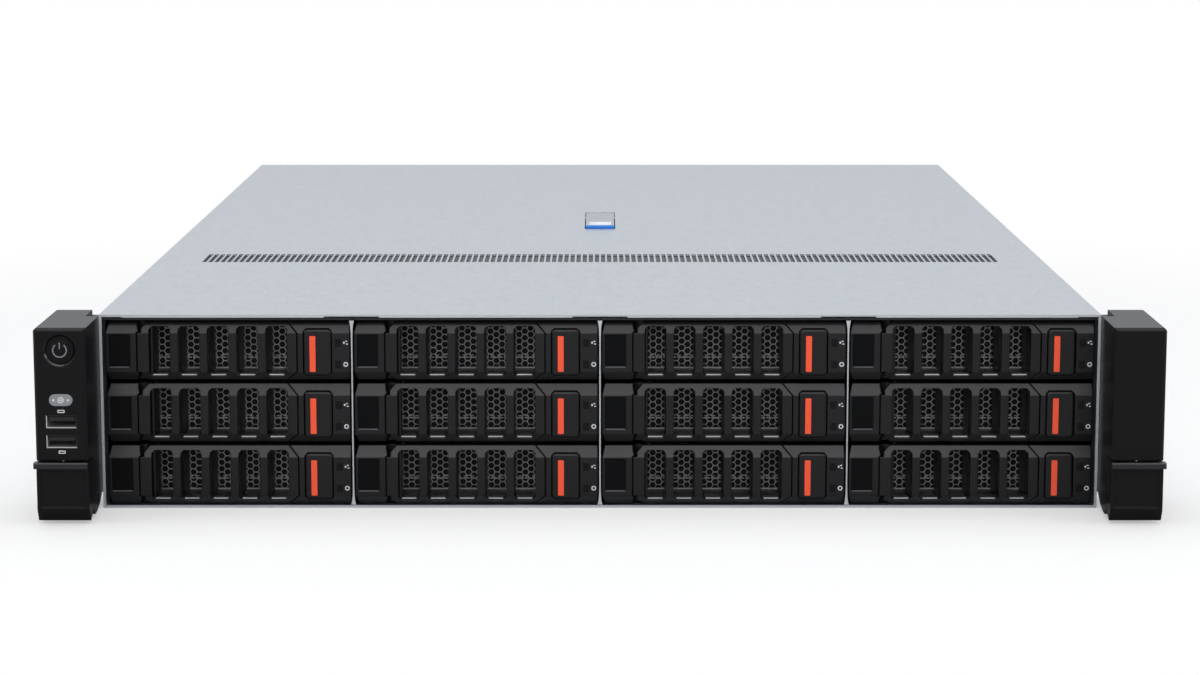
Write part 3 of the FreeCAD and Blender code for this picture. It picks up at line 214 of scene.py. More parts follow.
class Stuff(Enum):
    """Every finish on the server, named for the real material or for the light or shade that it paints."""

    # Galvanised sheet: cool light grey with a barely visible spangle, satin.
    COVER_SHEET = ZincSheet("galvanised_steel_sheet", "B9BEC2", "ACB1B6", 0.42, 1.0, 0.7, 0.003)
    # The same steel on the base and the drive cage, with more handling and a duller face.
    BASE_SHEET = ZincSheet("galvanised_steel_base", "B4BABF", "9DA4AA", 0.42, 1.0, 0.8, 0.006, 0.2)
    # Glass-filled nylon with a fine spark-eroded texture: deep black, soft sheen on the slopes.
    CARRIER_BLACK = Finish("moulded_black_nylon", "0E0E10", "141417", 0.32, 0.0, 0.35, 0.015, 0.6,
                           (("Specular IOR Level", 0.4),))
    # Polycarbonate blend of the ears, a little smoother and bluer.
    EAR_BLACK = Finish("moulded_black_polycarbonate", "0A0A0C", "0E0E11", 0.34, 0.0, 0.4, 0.012, 0.7, DEEP)
    # The same, polished, in the funnel round the power button.
    BEZEL_BLACK = Finish("polished_black_polycarbonate", "0C0C0E", "101012", 0.2, 0.0, 0.5, 0.004, 0.2)
    # Gloss black acetal of the power button.
    BUTTON_BLACK = Finish("black_acetal", "0A0A0C", "0E0E10", 0.28, 0.0, 0.5, 0.008, 0.3, DEEP)
    # Milky light guide with light grey body.
    LIGHT_GUIDE = Finish("milky_polycarbonate", "7C7D80", "8A8B8E", 0.35, 0.0, 0.6, 0.01, 0.4,
                         (("Subsurface Weight", 0.15),))
    # Pad-printed ink in white and in grey, slightly uneven.
    WHITE_INK = Finish("white_pad_print", "D8D8D8", "BDBDBD", 0.6, 0.0, 0.3, 0.005)
    GREY_INK = Finish("grey_pad_print", "74767A", "686A6E", 0.5, 0.0, 0.3, 0.005)
    # Orange-red dyed polycarbonate insert.
    ORANGE = Finish("orange_red_polycarbonate", "F4532A", "E8471F", 0.45, 0.0, 0.5, 0.01, 0.15)
    # Blue dyed acetal touch point.
    BLUE = Finish("blue_acetal", "0A7DE1", "0870CC", 0.42, 0.0, 0.5, 0.01, 0.3)
    # Light grey as painted highlight: the lit ledge along the bottom of the label recess.
    LEDGE_HIGHLIGHT_GREY = Finish("grey_ledge_painted_highlight", "6E7074", "64666A", 0.4, 0.0, 0.4, 0.01, 0.1)
    # Smoked light pipes flush in the carrier.
    SMOKED = Finish("smoked_acrylic", "08090B", "0C0D10", 0.25, 0.0, 0.6, 0.005, 0.1, DEEP)
    # Matt black film of the bare label field.
    LABEL_FILM = Finish("matt_black_film", "060709", "090A0C", 0.6, 0.0, 0.6, 0.003, 0.0,
                        (("Specular IOR Level", 0.1),))
    # Black as painted shade: on the drive cage, on what lies in the dark behind the slots, and in the supply
    # grilles.
    SHADE_BLACK = Finish("black_painted_shade", "0E0F11", "141517", 0.5, 0.0, 0.6, 0.01, 0.1, DEEP)
    # Fine mesh under the slots, its dark tone painted shade inside them.
    SLOT_MESH_SHADE = Finish("slot_mesh_painted_shade", "3E4347", "1A1D1F", 0.5, 0.0, 0.5, 0.05)
    # The lip of the ear levers, a little glossier than the rest, and lighter as painted highlight.
    LIP_HIGHLIGHT_BLACK = Finish("black_polycarbonate_lip_highlight", "18181B", "202024", 0.3, 0.0, 0.4, 0.012, 0.4)
    # Steel darkened as painted shade: the upper and right rims of the socket shells, and the front edge of
    # the cage's top sheet.
    SHADED_STEEL = Finish("steel_painted_shade", "4A4B4D", "3E3F41", 0.4, 1.0, 0.5, 0.004)
    # Nickel plate on spring steel: bright, with drawing marks.
    NICKEL = DrawnMetal("nickel_plated_steel", "C9C9C6", "B5B5B2", 0.26, 1.0, 0.6, 0.004, 0.1)
    # Perforated stainless screen of the carriers.
    SCREEN = DrawnMetal("perforated_stainless_steel", "E9EAEC", "D9DADC", 0.55, 1.0, 0.8, 0.004)
    # Front edges of the zinc-coated sheet and of the cage's dividers, brighter than the sheet's face as
    # painted highlight.
    EDGE_HIGHLIGHT = DrawnMetal("steel_edge_painted_highlight", "E6E9EC", "D2D6DA", 0.55, 1.0, 0.8, 0.004)
    # Matt bright metal as painted highlight: the strip on each window's sill, and the lower and left rims of
    # the socket shells.
    HIGHLIGHT_METAL = DrawnMetal("metal_painted_highlight", "F0F0EE", "E2E2E0", 0.5, 1.0, 0.6, 0.003)
    # Extruded aluminium of the heatsinks.
    ALUMINIUM = DrawnMetal("extruded_aluminium", "D4D6D9", "C2C4C8", 0.33, 1.0, 0.8, 0.006, 0.0, (),
                           (1.0, 0.04, 1.0))
    # Power supply case: plain zinc-plated sheet.
    SUPPLY_CASE = ZincSheet("zinc_plated_supply_case", "AEB2B5", "9A9FA3", 0.38, 1.0, 0.8, 0.006, 0.2)
    # Blackened cast aluminium of the hard drives.
    DRIVE_CASTING = Finish("blackened_cast_aluminium", "26272A", "333438", 0.5, 0.8, 1.2, 0.03, 0.2)
    # Black glass-filled polyester of the fans.
    FAN_BLACK = Finish("glass_filled_polyester", "141416", "1E1E21", 0.5, 0.0, 0.8, 0.02, 0.2)
    # Green solder mask.
    BOARD_GREEN = BoardLaminate("green_solder_mask", "0C3B22", "15532F", 0.35, 0.0, 0.8, 0.03)
    # Black epoxy of chips and sockets; in the rear port mouths it also stands for the shade inside, as
    # painted shade.
    EPOXY_AND_SHADE = Finish("black_epoxy_and_port_shade", "151517", "1D1D20", 0.45, 0.0, 0.6, 0.01, 0.1)

    def get(self) -> bpy.types.Material:
        """Return the material of this finish."""
        return self.value.material()


# ---- Surfaces ----
def corner_rect(width: float, height: float, radius: float, steps: int = 4) -> Array:
    """Outline of a rectangle with round corners, centred on zero.

    Each corner is an arc: its centre lies a radius inside both sides, and the angle runs a quarter turn.

    Args:
        width: Size along the first axis.
        height: Size along the second axis.
        radius: Corner radius.
        steps: Points on each corner.

    Returns:
        An (n, 2) array, anticlockwise.
    """
    quarter = np.linspace(0, math.pi / 2, steps)
    angle = np.concatenate([quarter + k * math.pi / 2 for k in range(4)])
    sign = np.repeat(np.array([[1, 1], [-1, 1], [-1, -1], [1, -1]]), steps, axis=0)
    centre = sign * np.array([width / 2 - radius, height / 2 - radius])
    return centre + radius * np.stack([np.cos(angle), np.sin(angle)], axis=1)


def circle(radius: float, sides: int, start: float = 0.0) -> Array:
    """Points of a circle: radius times the cosine and sine of equal steps of angle.

    Args:
        radius: Its radius.
        sides: Number of points.
        start: Angle of the first point.

    Returns:
        An (n, 2) array, anticlockwise.
    """
    angle = start + np.arange(sides) * 2 * math.pi / sides
    return radius * np.stack([np.cos(angle), np.sin(angle)], axis=1)


def facing_front(outline: Array, y: float) -> Array:
    """Place a flat outline of (x, z) at the depth y.

    Args:
        outline: An (n, 2) array.
        y: Depth.

    Returns:
        An (n, 3) array.
    """
    return np.stack([outline[:, 0], np.full(len(outline), y), outline[:, 1]], axis=1)


@dataclass
class Surface:
    """Vertices and faces that grow shape by shape before they become one mesh."""

    points: list[Array] = field(default_factory=list)
    faces: list[tuple[int, ...]] = field(default_factory=list)
    count: int = 0

    def loft(self, rings: Array, capped: bool = True, looped: bool = False) -> None:
        """Join closed rings of points one after the other.

        The surface is a grid: point (i, j) is point j of ring i, and each face joins (i, j), (i, j + 1),
        (i + 1, j + 1) and (i + 1, j), where j wraps round the ring and i wraps too if the loft is looped.

        Args:
            rings: A (k, n, 3) array.
            capped: Close the first and the last ring.
            looped: Join the last ring to the first.
        """
        k, n, _ = rings.shape
        base = np.arange(k * n).reshape(k, n) + self.count
        upper = np.roll(base, -1, axis=0) if looped else base[1:]
        lower = base if looped else base[:-1]
        quads = np.stack([lower, np.roll(lower, -1, 1), np.roll(upper, -1, 1), upper], axis=-1)
        self.faces += [tuple(q) for q in quads.reshape(-1, 4).tolist()]
        if capped and not looped:
            self.faces += [tuple(base[0, ::-1].tolist()), tuple(base[-1].tolist())]
        self.points.append(rings.reshape(-1, 3))
        self.count += k * n

    def plate(self, outline: Array, y_back: float, y_front: float) -> None:
        """Add an outline of (x, z) carried from one depth to another.

        Args:
            outline: An (n, 2) array.
            y_back: Depth of its back.
            y_front: Depth of its front.
        """
        self.loft(np.stack([facing_front(outline, y_back), facing_front(outline, y_front)]))

    def band(self, outer: Array, inner: Array, y_back: float, y_front: float) -> None:
        """Add the band between two outlines of (x, z), carried from one depth to another.

        Args:
            outer: An (n, 2) array.
            inner: An (n, 2) array inside it.
            y_back: Depth of its back.
            y_front: Depth of its front.
        """
        self.loft(np.stack([facing_front(outer, y_back), facing_front(outer, y_front),
                            facing_front(inner, y_front), facing_front(inner, y_back)]), looped=True)

    def object(self, name: str, body: str, finish: Stuff,
               closed: bool = True) -> bpy.types.Object:
        """Turn the surface into a piece that rides on a body.

        Args:
            name: Name of the piece.
            body: Body that carries it.
            finish: Its finish.
            closed: Turn the faces of each closed shell outwards.

        Returns:
            The new object.
        """
        mesh = bpy.data.meshes.new(name)
        mesh.from_pydata((np.concatenate(self.points) * MM).tolist(), [], self.faces)
        if closed:
            shell = bmesh.new()
            shell.from_mesh(mesh)
            bmesh.ops.recalc_face_normals(shell, faces=shell.faces)
            shell.to_mesh(mesh)
            shell.free()
        mesh.materials.append(finish.get())
        made = bpy.data.objects.new(name, mesh)
        bpy.context.scene.collection.objects.link(made)
        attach(made, body)
        LOG.info("piece %s: %d faces on %s", name, len(mesh.polygons), body)
        return made


def pad_rings(outline: Array, y_back: float, y_front: float, soft: float) -> Array:
    """Rings of a low pad seen from the front: straight sides and an edge rounded by a quarter circle.

    Ring k of the edge shrinks the outline by soft times one minus the cosine of its angle and stands soft
    times one minus the sine behind the front.

    Args:
        outline: The pad's outline.
        y_back: Depth of its back.
        y_front: Depth of its front.
        soft: Radius of the edge.

    Returns:
        A (k, n, 3) array.
    """
    centre = outline.mean(axis=0)
    half = np.abs(outline - centre).max(axis=0)
    rings = [facing_front(outline, y_back)]
    for angle in np.linspace(0, math.pi / 2, 4):
        shrink = 1 - soft * (1 - math.cos(angle)) / half
        depth = y_front + soft * (1 - math.sin(angle))
        rings.append(facing_front(centre + (outline - centre) * shrink, depth))
    return np.stack(rings)


def corners(node: str) -> tuple[Array, Array]:
    """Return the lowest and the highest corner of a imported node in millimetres."""
    low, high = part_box(node)
    return np.array(low) / MM, np.array(high) / MM


def dress(node: str, finish: Stuff) -> None:
    """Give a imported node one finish.

    Args:
        node: The node's name.
        finish: The finish.
    """
    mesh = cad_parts[node].data
    mesh.materials.clear()
    mesh.materials.append(finish.get())


def dress_part(node: str, finish: Stuff, chosen: Callable[[Array, Array], Array]) -> None:
    """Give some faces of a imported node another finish.

    Args:
        node: The node's name.
        finish: The finish of the chosen faces.
        chosen: Takes the faces' centres in millimetres and their normals, and returns a mask.
    """
    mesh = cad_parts[node].data
    count = len(mesh.polygons)
    centres, normals = np.empty((2, count * 3), np.float32)
    index = np.empty(count, np.int32)
    for name, values in (("center", centres), ("normal", normals), ("material_index", index)):
        mesh.polygons.foreach_get(name, values)
    mesh.materials.append(finish.get())
    index[chosen(centres.reshape(-1, 3) / MM, normals.reshape(-1, 3))] = len(mesh.materials) - 1
    mesh.polygons.foreach_set("material_index", index)


# ---- Drive carriers ----
@dataclass
class DriveCarrier:
    """One drive carrier with its handle, button, air passages, screen and marks.

    Places are from the carrier's lower left corner and its plastic face.
    """

    number: int
    face: float = 0.4  # behind the node's front
    height: float = 25.8
    windows: int = 5
    window_x: float = 18.6
    window_pitch: float = 12.75
    window_w: float = 9.3
    guide_y: Pair = (11.2, 30.5)
    guide_wall: float = 0.5
    guide_gap: float = 0.5
    passage_trim: float = 2.0
    passage_sheet: float = 0.3
    passage_floor: Pair = (0.1, 3.0)  # bottom, reach past the ribs
    roof_over: float = 2.5
    roof_reach: float = 1.2
    screen_y: float = 31.0
    screen_foot: Triple = (0.5, 0.45, 0.8)  # bottom, height, depth
    drive_mid: float = 53.2
    drive_half: float = 51.0
    # The next three fields place the bright strip on each window's sill, a painted highlight.
    lip: Pair = (6.4, 0.42)  # width, height
    sill_highlight_low: float = 2.05
    sill_highlight_y: Pair = (3.4, 2.1)  # back, front
    film: Six = (1.4, 6.2, 8.7, 13.7, 0.5, 0.4)  # left, bottom, width, height, back, front
    # The ledge is light grey as the painted highlight of the recess's lit bottom edge.
    ledge: Six = (1.5, 5.78, 8.5, 0.28, 0.5, 0.12)
    board_y: Pair = (34.0, 33.4)
    board_edge: tuple[Triple, ...] = ((4.6, 0.5, 0.82), (5.6, 0.35, 0.55))  # bottom, height, metal's share
    board_steps: int = 20
    hex_pitch: float = 2.95
    hex_rows: int = 8
    hex_low: float = 2.2
    hex_over: Pair = (1.0, 3.0)  # left of the windows, wider than their row
    wire: float = 0.34
    wire_depth: float = 0.6
    button_soft: Pair = (1.5, 0.8)
    stripe: Pair = (90.2, 11.8)
    stripe_pad: Six = (2.6, 15.8, 0.3, -0.1, -0.38, 0.08)  # width, height, corner, back, front, edge
    pipe_x: float = 101.3
    pipe_pad: Six = (2.7, 3.6, 0.3, 0.8, 0.3, 0.1)
    mark_x: float = 104.6
    mark_y: Pair = (0.45, 0.36)
    mark_z: Pair = (7.1, 16.7)
    mark_ring: Pair = (1.05, 0.6)
    mark_bars: tuple[Four, ...] = (  # middle, width, height
        (-0.7, 0.0, 0.7, 0.9), (0.3, 0.6, 0.9, 0.45), (0.6, -0.6, 0.9, 0.45))

    def __post_init__(self) -> None:
        """Find the corner that the sizes start from."""
        self.node = f"drive_carrier_{self.number}"
        low, _ = corners(self.node)
        self.x, self.z = low[0], low[2]
        self.front = low[1] - self.face
        self.across = self.windows * self.window_pitch - self.passage_trim

    def build(self) -> None:
        """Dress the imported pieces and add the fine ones."""
        dress(self.node, Stuff.CARRIER_BLACK)
        drive_y, drive_x = self.front + self.screen_y + 1, self.x + self.drive_mid
        dress_part(self.node, Stuff.DRIVE_CASTING,
                   lambda c, n: (c[:, 1] > drive_y) & (np.abs(c[:, 0] - drive_x) < self.drive_half))
        dress(f"carrier_handle_{self.number}", Stuff.CARRIER_BLACK)
        self.air_guides()
        self.air_screen()
        self.board_edges()
        self.window_sill_highlights()
        self.label_field()
        self.release_button()
        self.low_pads()
        self.marks()

    def bar(self, surface: Surface, box: Six, soft: float = 0.0) -> None:
        """Add an upright bar to a surface: a rectangle seen from the front, carried from back to front.

        Args:
            surface: What it is added to.
            box: Left, bottom, width, height, back and front.
            soft: Radius of its corners.
        """
        left, low, width, height, back, front = box
        middle = np.array([self.x + left + width / 2, self.z + low + height / 2])
        outline = corner_rect(width, height, soft, 3 if soft else 1) + middle
        surface.plate(outline, self.front + back, self.front + front)

    def air_guides(self) -> None:
        """Add the ribs between the air passages behind the windows, and the passages' floor and roof."""
        surface = Surface()
        y0, y1 = self.guide_y
        wall, gap, sheet = self.guide_wall, self.guide_gap, self.passage_sheet
        for k in range(self.windows):
            left = self.window_x + k * self.window_pitch
            for x in (left - wall, left + self.window_w):
                self.bar(surface, (x, gap, wall, self.height - 2 * gap, y1, y0))
        low, reach = self.passage_floor
        self.bar(surface, (self.window_x - wall, low, self.across, sheet, y1 + reach, y0))
        self.bar(surface, (self.window_x - wall - self.roof_over, self.height - sheet,
                           self.across + 2 * (self.roof_over + wall), sheet, y1 + self.roof_reach, y0))
        surface.object(f"air_guides_{self.number}", self.node, Stuff.CARRIER_BLACK)

    def board_edges(self) -> None:
        """Add what shows of the drive behind the screen: the screen's foot and the board's edge."""
        surface = Surface()
        left = self.window_x - self.guide_wall
        pitch = self.across / self.board_steps
        low, height, depth = self.screen_foot
        self.bar(surface, (left, low, self.across, height, self.screen_y, self.screen_y - depth))
        for low, height, share in self.board_edge:
            for k in range(self.board_steps):
                self.bar(surface, (left + k * pitch, low, pitch * share, height, *self.board_y))
        surface.object(f"board_edges_{self.number}", self.node, Stuff.SCREEN)

    def window_sill_highlights(self) -> None:
        """Add a bright strip on the sill of each window, the painted highlight of its lit lower edge."""
        surface = Surface()
        width, height = self.lip
        for k in range(self.windows):
            left = self.window_x + k * self.window_pitch + (self.window_w - width) / 2
            self.bar(surface, (left, self.sill_highlight_low, width, height, *self.sill_highlight_y), soft=0.1)
        surface.object(f"window_sill_highlights_{self.number}", f"carrier_handle_{self.number}", Stuff.HIGHLIGHT_METAL)

    def label_field(self) -> None:
        """Add the bare smooth field in the label recess, with a ledge along its bottom painted light grey as
        its highlight.
        """
        for name, box, soft, finish in (("label_field", self.film, 0.4, Stuff.LABEL_FILM),
                                        ("label_ledge", self.ledge, 0.1, Stuff.LEDGE_HIGHLIGHT_GREY)):
            surface = Surface()
            self.bar(surface, box, soft)
            surface.object(f"{name}_{self.number}", self.node, finish)

    def release_button(self) -> None:
        """Add the release button, a tall pad with round corners and a soft edge, in place of its node."""
        node = f"release_button_{self.number}"
        low, high = corners(node)
        corner, edge = self.button_soft
        outline = corner_rect(high[0] - low[0], high[2] - low[2], corner, 6) + ((low + high) / 2)[[0, 2]]
        surface = Surface()
        surface.loft(pad_rings(outline, high[1], low[1], edge))
        made = surface.object(f"button_pad_{self.number}", node, Stuff.CARRIER_BLACK)
        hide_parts(node)

    def air_screen(self) -> None:
        """Add the perforated screen: a honeycomb of hexagonal holes.

        Cell (i, j) has its centre at i column pitches across and j rows up, odd columns half a row higher.
        Its face is the band between a hexagon that meets its neighbours and one smaller by half a wire.
        """
        reach = self.hex_pitch / math.sqrt(3)
        before, after = self.hex_over
        across = self.windows * self.window_pitch + after
        columns = int(across / (1.5 * reach))
        column, row = np.meshgrid(np.arange(columns), np.arange(self.hex_rows), indexing="ij")
        centre_x = self.x + self.window_x - before + column * 1.5 * reach
        centre_z = self.z + self.hex_low + (row + 0.5 * (column % 2)) * self.hex_pitch
        centres = np.stack([centre_x.ravel(), centre_z.ravel()], axis=1)
        outer = circle(reach, 6)
        inner = circle(reach - self.wire / math.sqrt(3), 6)
        flat = (np.concatenate([outer, inner])[None] + centres[:, None]).reshape(-1, 2)
        surface = Surface()
        surface.points.append(facing_front(flat, self.front + self.screen_y))
        side = np.arange(6)
        quads = np.stack([side, (side + 1) % 6, (side + 1) % 6 + 6, side + 6], axis=1)
        every = quads[None] + 12 * np.arange(len(centres))[:, None, None]
        surface.faces = [tuple(q) for q in every.reshape(-1, 4).tolist()]
        made = surface.object(f"air_screen_{self.number}", self.node, Stuff.SCREEN,
                              closed=False)
        weld = made.modifiers.new("join cells", "WELD")
        weld.merge_threshold = 0.02 * MM
        thick = made.modifiers.new("sheet", "SOLIDIFY")
        thick.thickness = self.wire_depth * MM
        thick.offset = -1.0

    def low_pads(self) -> None:
        """Add the button's orange-red insert and the two smoked light pipes, pads with round edges."""
        lights = [(self.pipe_x, z) for z in self.mark_z]
        for name, node, finish, slot, places, pad in (
                ("button_stripe", f"release_button_{self.number}", Stuff.ORANGE, "button_plastic",
                 [self.stripe], self.stripe_pad),
                ("light_pipes", self.node, Stuff.SMOKED, "carrier_plastic", lights, self.pipe_pad)):
            surface = Surface()
            width, height, corner, back, front, edge = pad
            for x, z in places:
                outline = corner_rect(width, height, corner) + np.array([self.x + x, self.z + z])
                surface.loft(pad_rings(outline, self.front + back, self.front + front, edge))
            surface.object(f"{name}_{self.number}", node, finish)

    def marks(self) -> None:
        """Add the two printed marks: a ring for the drive, and a dot with two bars for its activity."""
        surface = Surface()
        low, high = (np.array([self.x + self.mark_x, self.z + z]) for z in self.mark_z)
        y0, y1 = (self.front + y for y in self.mark_y)
        outer, inner = (circle(radius, 16) + low for radius in self.mark_ring)
        surface.band(outer, inner, y0, y1)
        for dx, dz, width, height in self.mark_bars:
            surface.plate(corner_rect(width, height, 0.15, 2) + high + np.array([dx, dz]), y0, y1)
        surface.object(f"bay_marks_{self.number}", self.node, Stuff.WHITE_INK)


# ---- Ears ----
@dataclass
class Ear:
    """Housing and lever at one side."""

    side: str
    lip: Pair = (2.4, 3.5)  # back, down

    def build(self) -> None:
        """Dress the housing and the lever, whose lip stands furthest forward, is a little glossier and is
        painted lighter as highlight.
        """
        dress(f"{self.side}_ear_housing", Stuff.EAR_BLACK)
        name = f"{self.side}_ear_lever"
        low, high = corners(name)
        back, down = self.lip
        dress(name, Stuff.EAR_BLACK)
        # Painted highlight: the lever's lip is lighter than the rest.
        dress_part(name, Stuff.LIP_HIGHLIGHT_BLACK,
                   lambda c, n: (c[:, 1] < low[1] + back) & (c[:, 2] > high[2] - down))
        LOG.info("dressed the %s ear", self.side)


@dataclass
class ControlEar(Ear):
    """An ear that also has a power button, a locator button and sockets, with their printed signs."""

    symbol_r: float = 2.9
    symbol_line: float = 0.55
    symbol_gap: Pair = (128.0, 412.0)
    symbol_bar: Pair = (2.9, 2.0)  # height, middle over the ring's
    locator_ring: Pair = (1.35, 0.95)
    locator_marks: tuple[tuple[float, float, int, float], ...] = (  # place, radius, sides, turn
        (0.0, 0.5, 12, 0.0), (-3.1, 0.75, 3, math.pi), (3.1, 0.75, 3, 0.0))
    funnel_r: float = 8.6
    funnel_depth: float = 3.0
    funnel_lean: float = 0.95
    board_t: float = 1.7
    lit_side_rim: float = 2.6
    lit_lower_rims: tuple[Pair, ...] = ((42.2, 43.2), (33.6, 34.6))  # bottom, top
    tongues: tuple[Pair, ...] = ((45.2, 47.2), (36.6, 38.6))
    tongue_half: float = 5.62
    tongue_y: float = 0.9
    sign_z: Pair = (49.6, 31.9)
    sign_proud: float = 0.04
    plug_outer: Triple = (3.0, 1.3, 0.25)  # width, height, corner
    plug_inner: Triple = (2.3, 0.6, 0.1)

    def build(self) -> None:
        """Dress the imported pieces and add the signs."""
        super().build()
        button = sum(corners("power_button")) / 2
        front = corners("left_ear_housing")[0][1]
        dress_part("left_ear_housing", Stuff.BEZEL_BLACK,
                   lambda c, n: (n[:, 1] > -self.funnel_lean) & (c[:, 1] < front + self.funnel_depth)
                   & (np.hypot(c[:, 0] - button[0], c[:, 2] - button[2]) < self.funnel_r))
        dress("power_button", Stuff.BUTTON_BLACK)
        dress("id_button", Stuff.LIGHT_GUIDE)
        self.board()
        self.power_sign()
        self.locator_sign()
        self.socket_signs()

    def board(self) -> None:
        """Dress the control board: green behind, with plated sockets in front that hold black tongues; the
        socket rims are painted light and shade, dark at the top and right, bright at the bottom and left.
        """
        node = "ear_control_board"
        low, high = corners(node)
        back, left, middle = high[1] - self.board_t, low[0] + self.lit_side_rim, (low[0] + high[0]) / 2
        dress(node, Stuff.BOARD_GREEN)
        # Painted light on the socket rims: dark as shade all round first, then bright as highlight at the
        # bottom and left.
        dress_part(node, Stuff.SHADED_STEEL, lambda c, n: c[:, 1] < back)
        dress_part(node, Stuff.HIGHLIGHT_METAL, lambda c, n: (c[:, 1] < back) & (
            (c[:, 0] < left) | self.within(c, self.lit_lower_rims)))
        dress_part(node, Stuff.EPOXY_AND_SHADE, lambda c, n: (c[:, 1] < back - self.tongue_y) & (
            np.abs(c[:, 0] - middle) < self.tongue_half) & self.within(c, self.tongues))

    @staticmethod
    def within(centres: Array, bands: Sequence[Pair]) -> Array:
        """Tell which face centres lie in one of the bands of height.

        Args:
            centres: Face centres in millimetres.
            bands: The lowest and highest height of each band.

        Returns:
            A mask.
        """
        return np.any([(centres[:, 2] > z0) & (centres[:, 2] < z1) for z0, z1 in bands], axis=0)

    def power_sign(self) -> None:
        """Add the power sign: an open ring and an upright bar.

        The ring's angle runs all round except for a gap at the top, and its section is a thin rectangle.
        """
        low, high = corners("power_button")
        y0, y1 = low[1] + SUNK, low[1] - PROUD
        start, end = self.symbol_gap
        angle = np.linspace(math.radians(start), math.radians(end), 33)
        turn = np.stack([np.cos(angle), np.sin(angle)], axis=1)
        middle = ((low + high) / 2)[[0, 2]]
        half = self.symbol_line / 2
        section = [(self.symbol_r + half, y0), (self.symbol_r + half, y1), (self.symbol_r - half, y1),
                   (self.symbol_r - half, y0)]
        rings = np.stack([facing_front(turn * r + middle, y) for r, y in section], axis=1)
        surface = Surface()
        surface.loft(rings)
        length, over = self.symbol_bar
        bar = corner_rect(self.symbol_line, length, 0.2, 3) + middle + np.array([0, over])
        surface.plate(bar, y0, y1)
        surface.object("power_sign", "power_button", Stuff.GREY_INK)

    def locator_sign(self) -> None:
        """Add the locator sign: a ring round a dot, with a small mark at each side."""
        low, high = corners("id_button")
        centre = ((low + high) / 2)[[0, 2]]
        y0, y1 = low[1] + SUNK, low[1] - PROUD
        surface = Surface()
        outer, inner = (circle(radius, 20) + centre for radius in self.locator_ring)
        surface.band(outer, inner, y0, y1)
        for offset, radius, sides, start in self.locator_marks:
            surface.plate(circle(radius, sides, start) + centre + np.array([offset, 0]), y0, y1)
        surface.object("locator_sign", "id_button", Stuff.WHITE_INK)

    def socket_signs(self) -> None:
        """Add a plain plug outline over the upper socket and under the lower one."""
        middle = sum(corners("ear_control_board"))[0] / 2
        y = corners("left_ear_housing")[0][1]
        surface = Surface()
        for z in self.sign_z:
            centre = np.array([middle, z])
            outer, inner = (corner_rect(*size, 3) + centre for size in (self.plug_outer, self.plug_inner))
            surface.band(outer, inner, y + SUNK, y - self.sign_proud)
        surface.object("socket_signs", "chassis", Stuff.WHITE_INK)


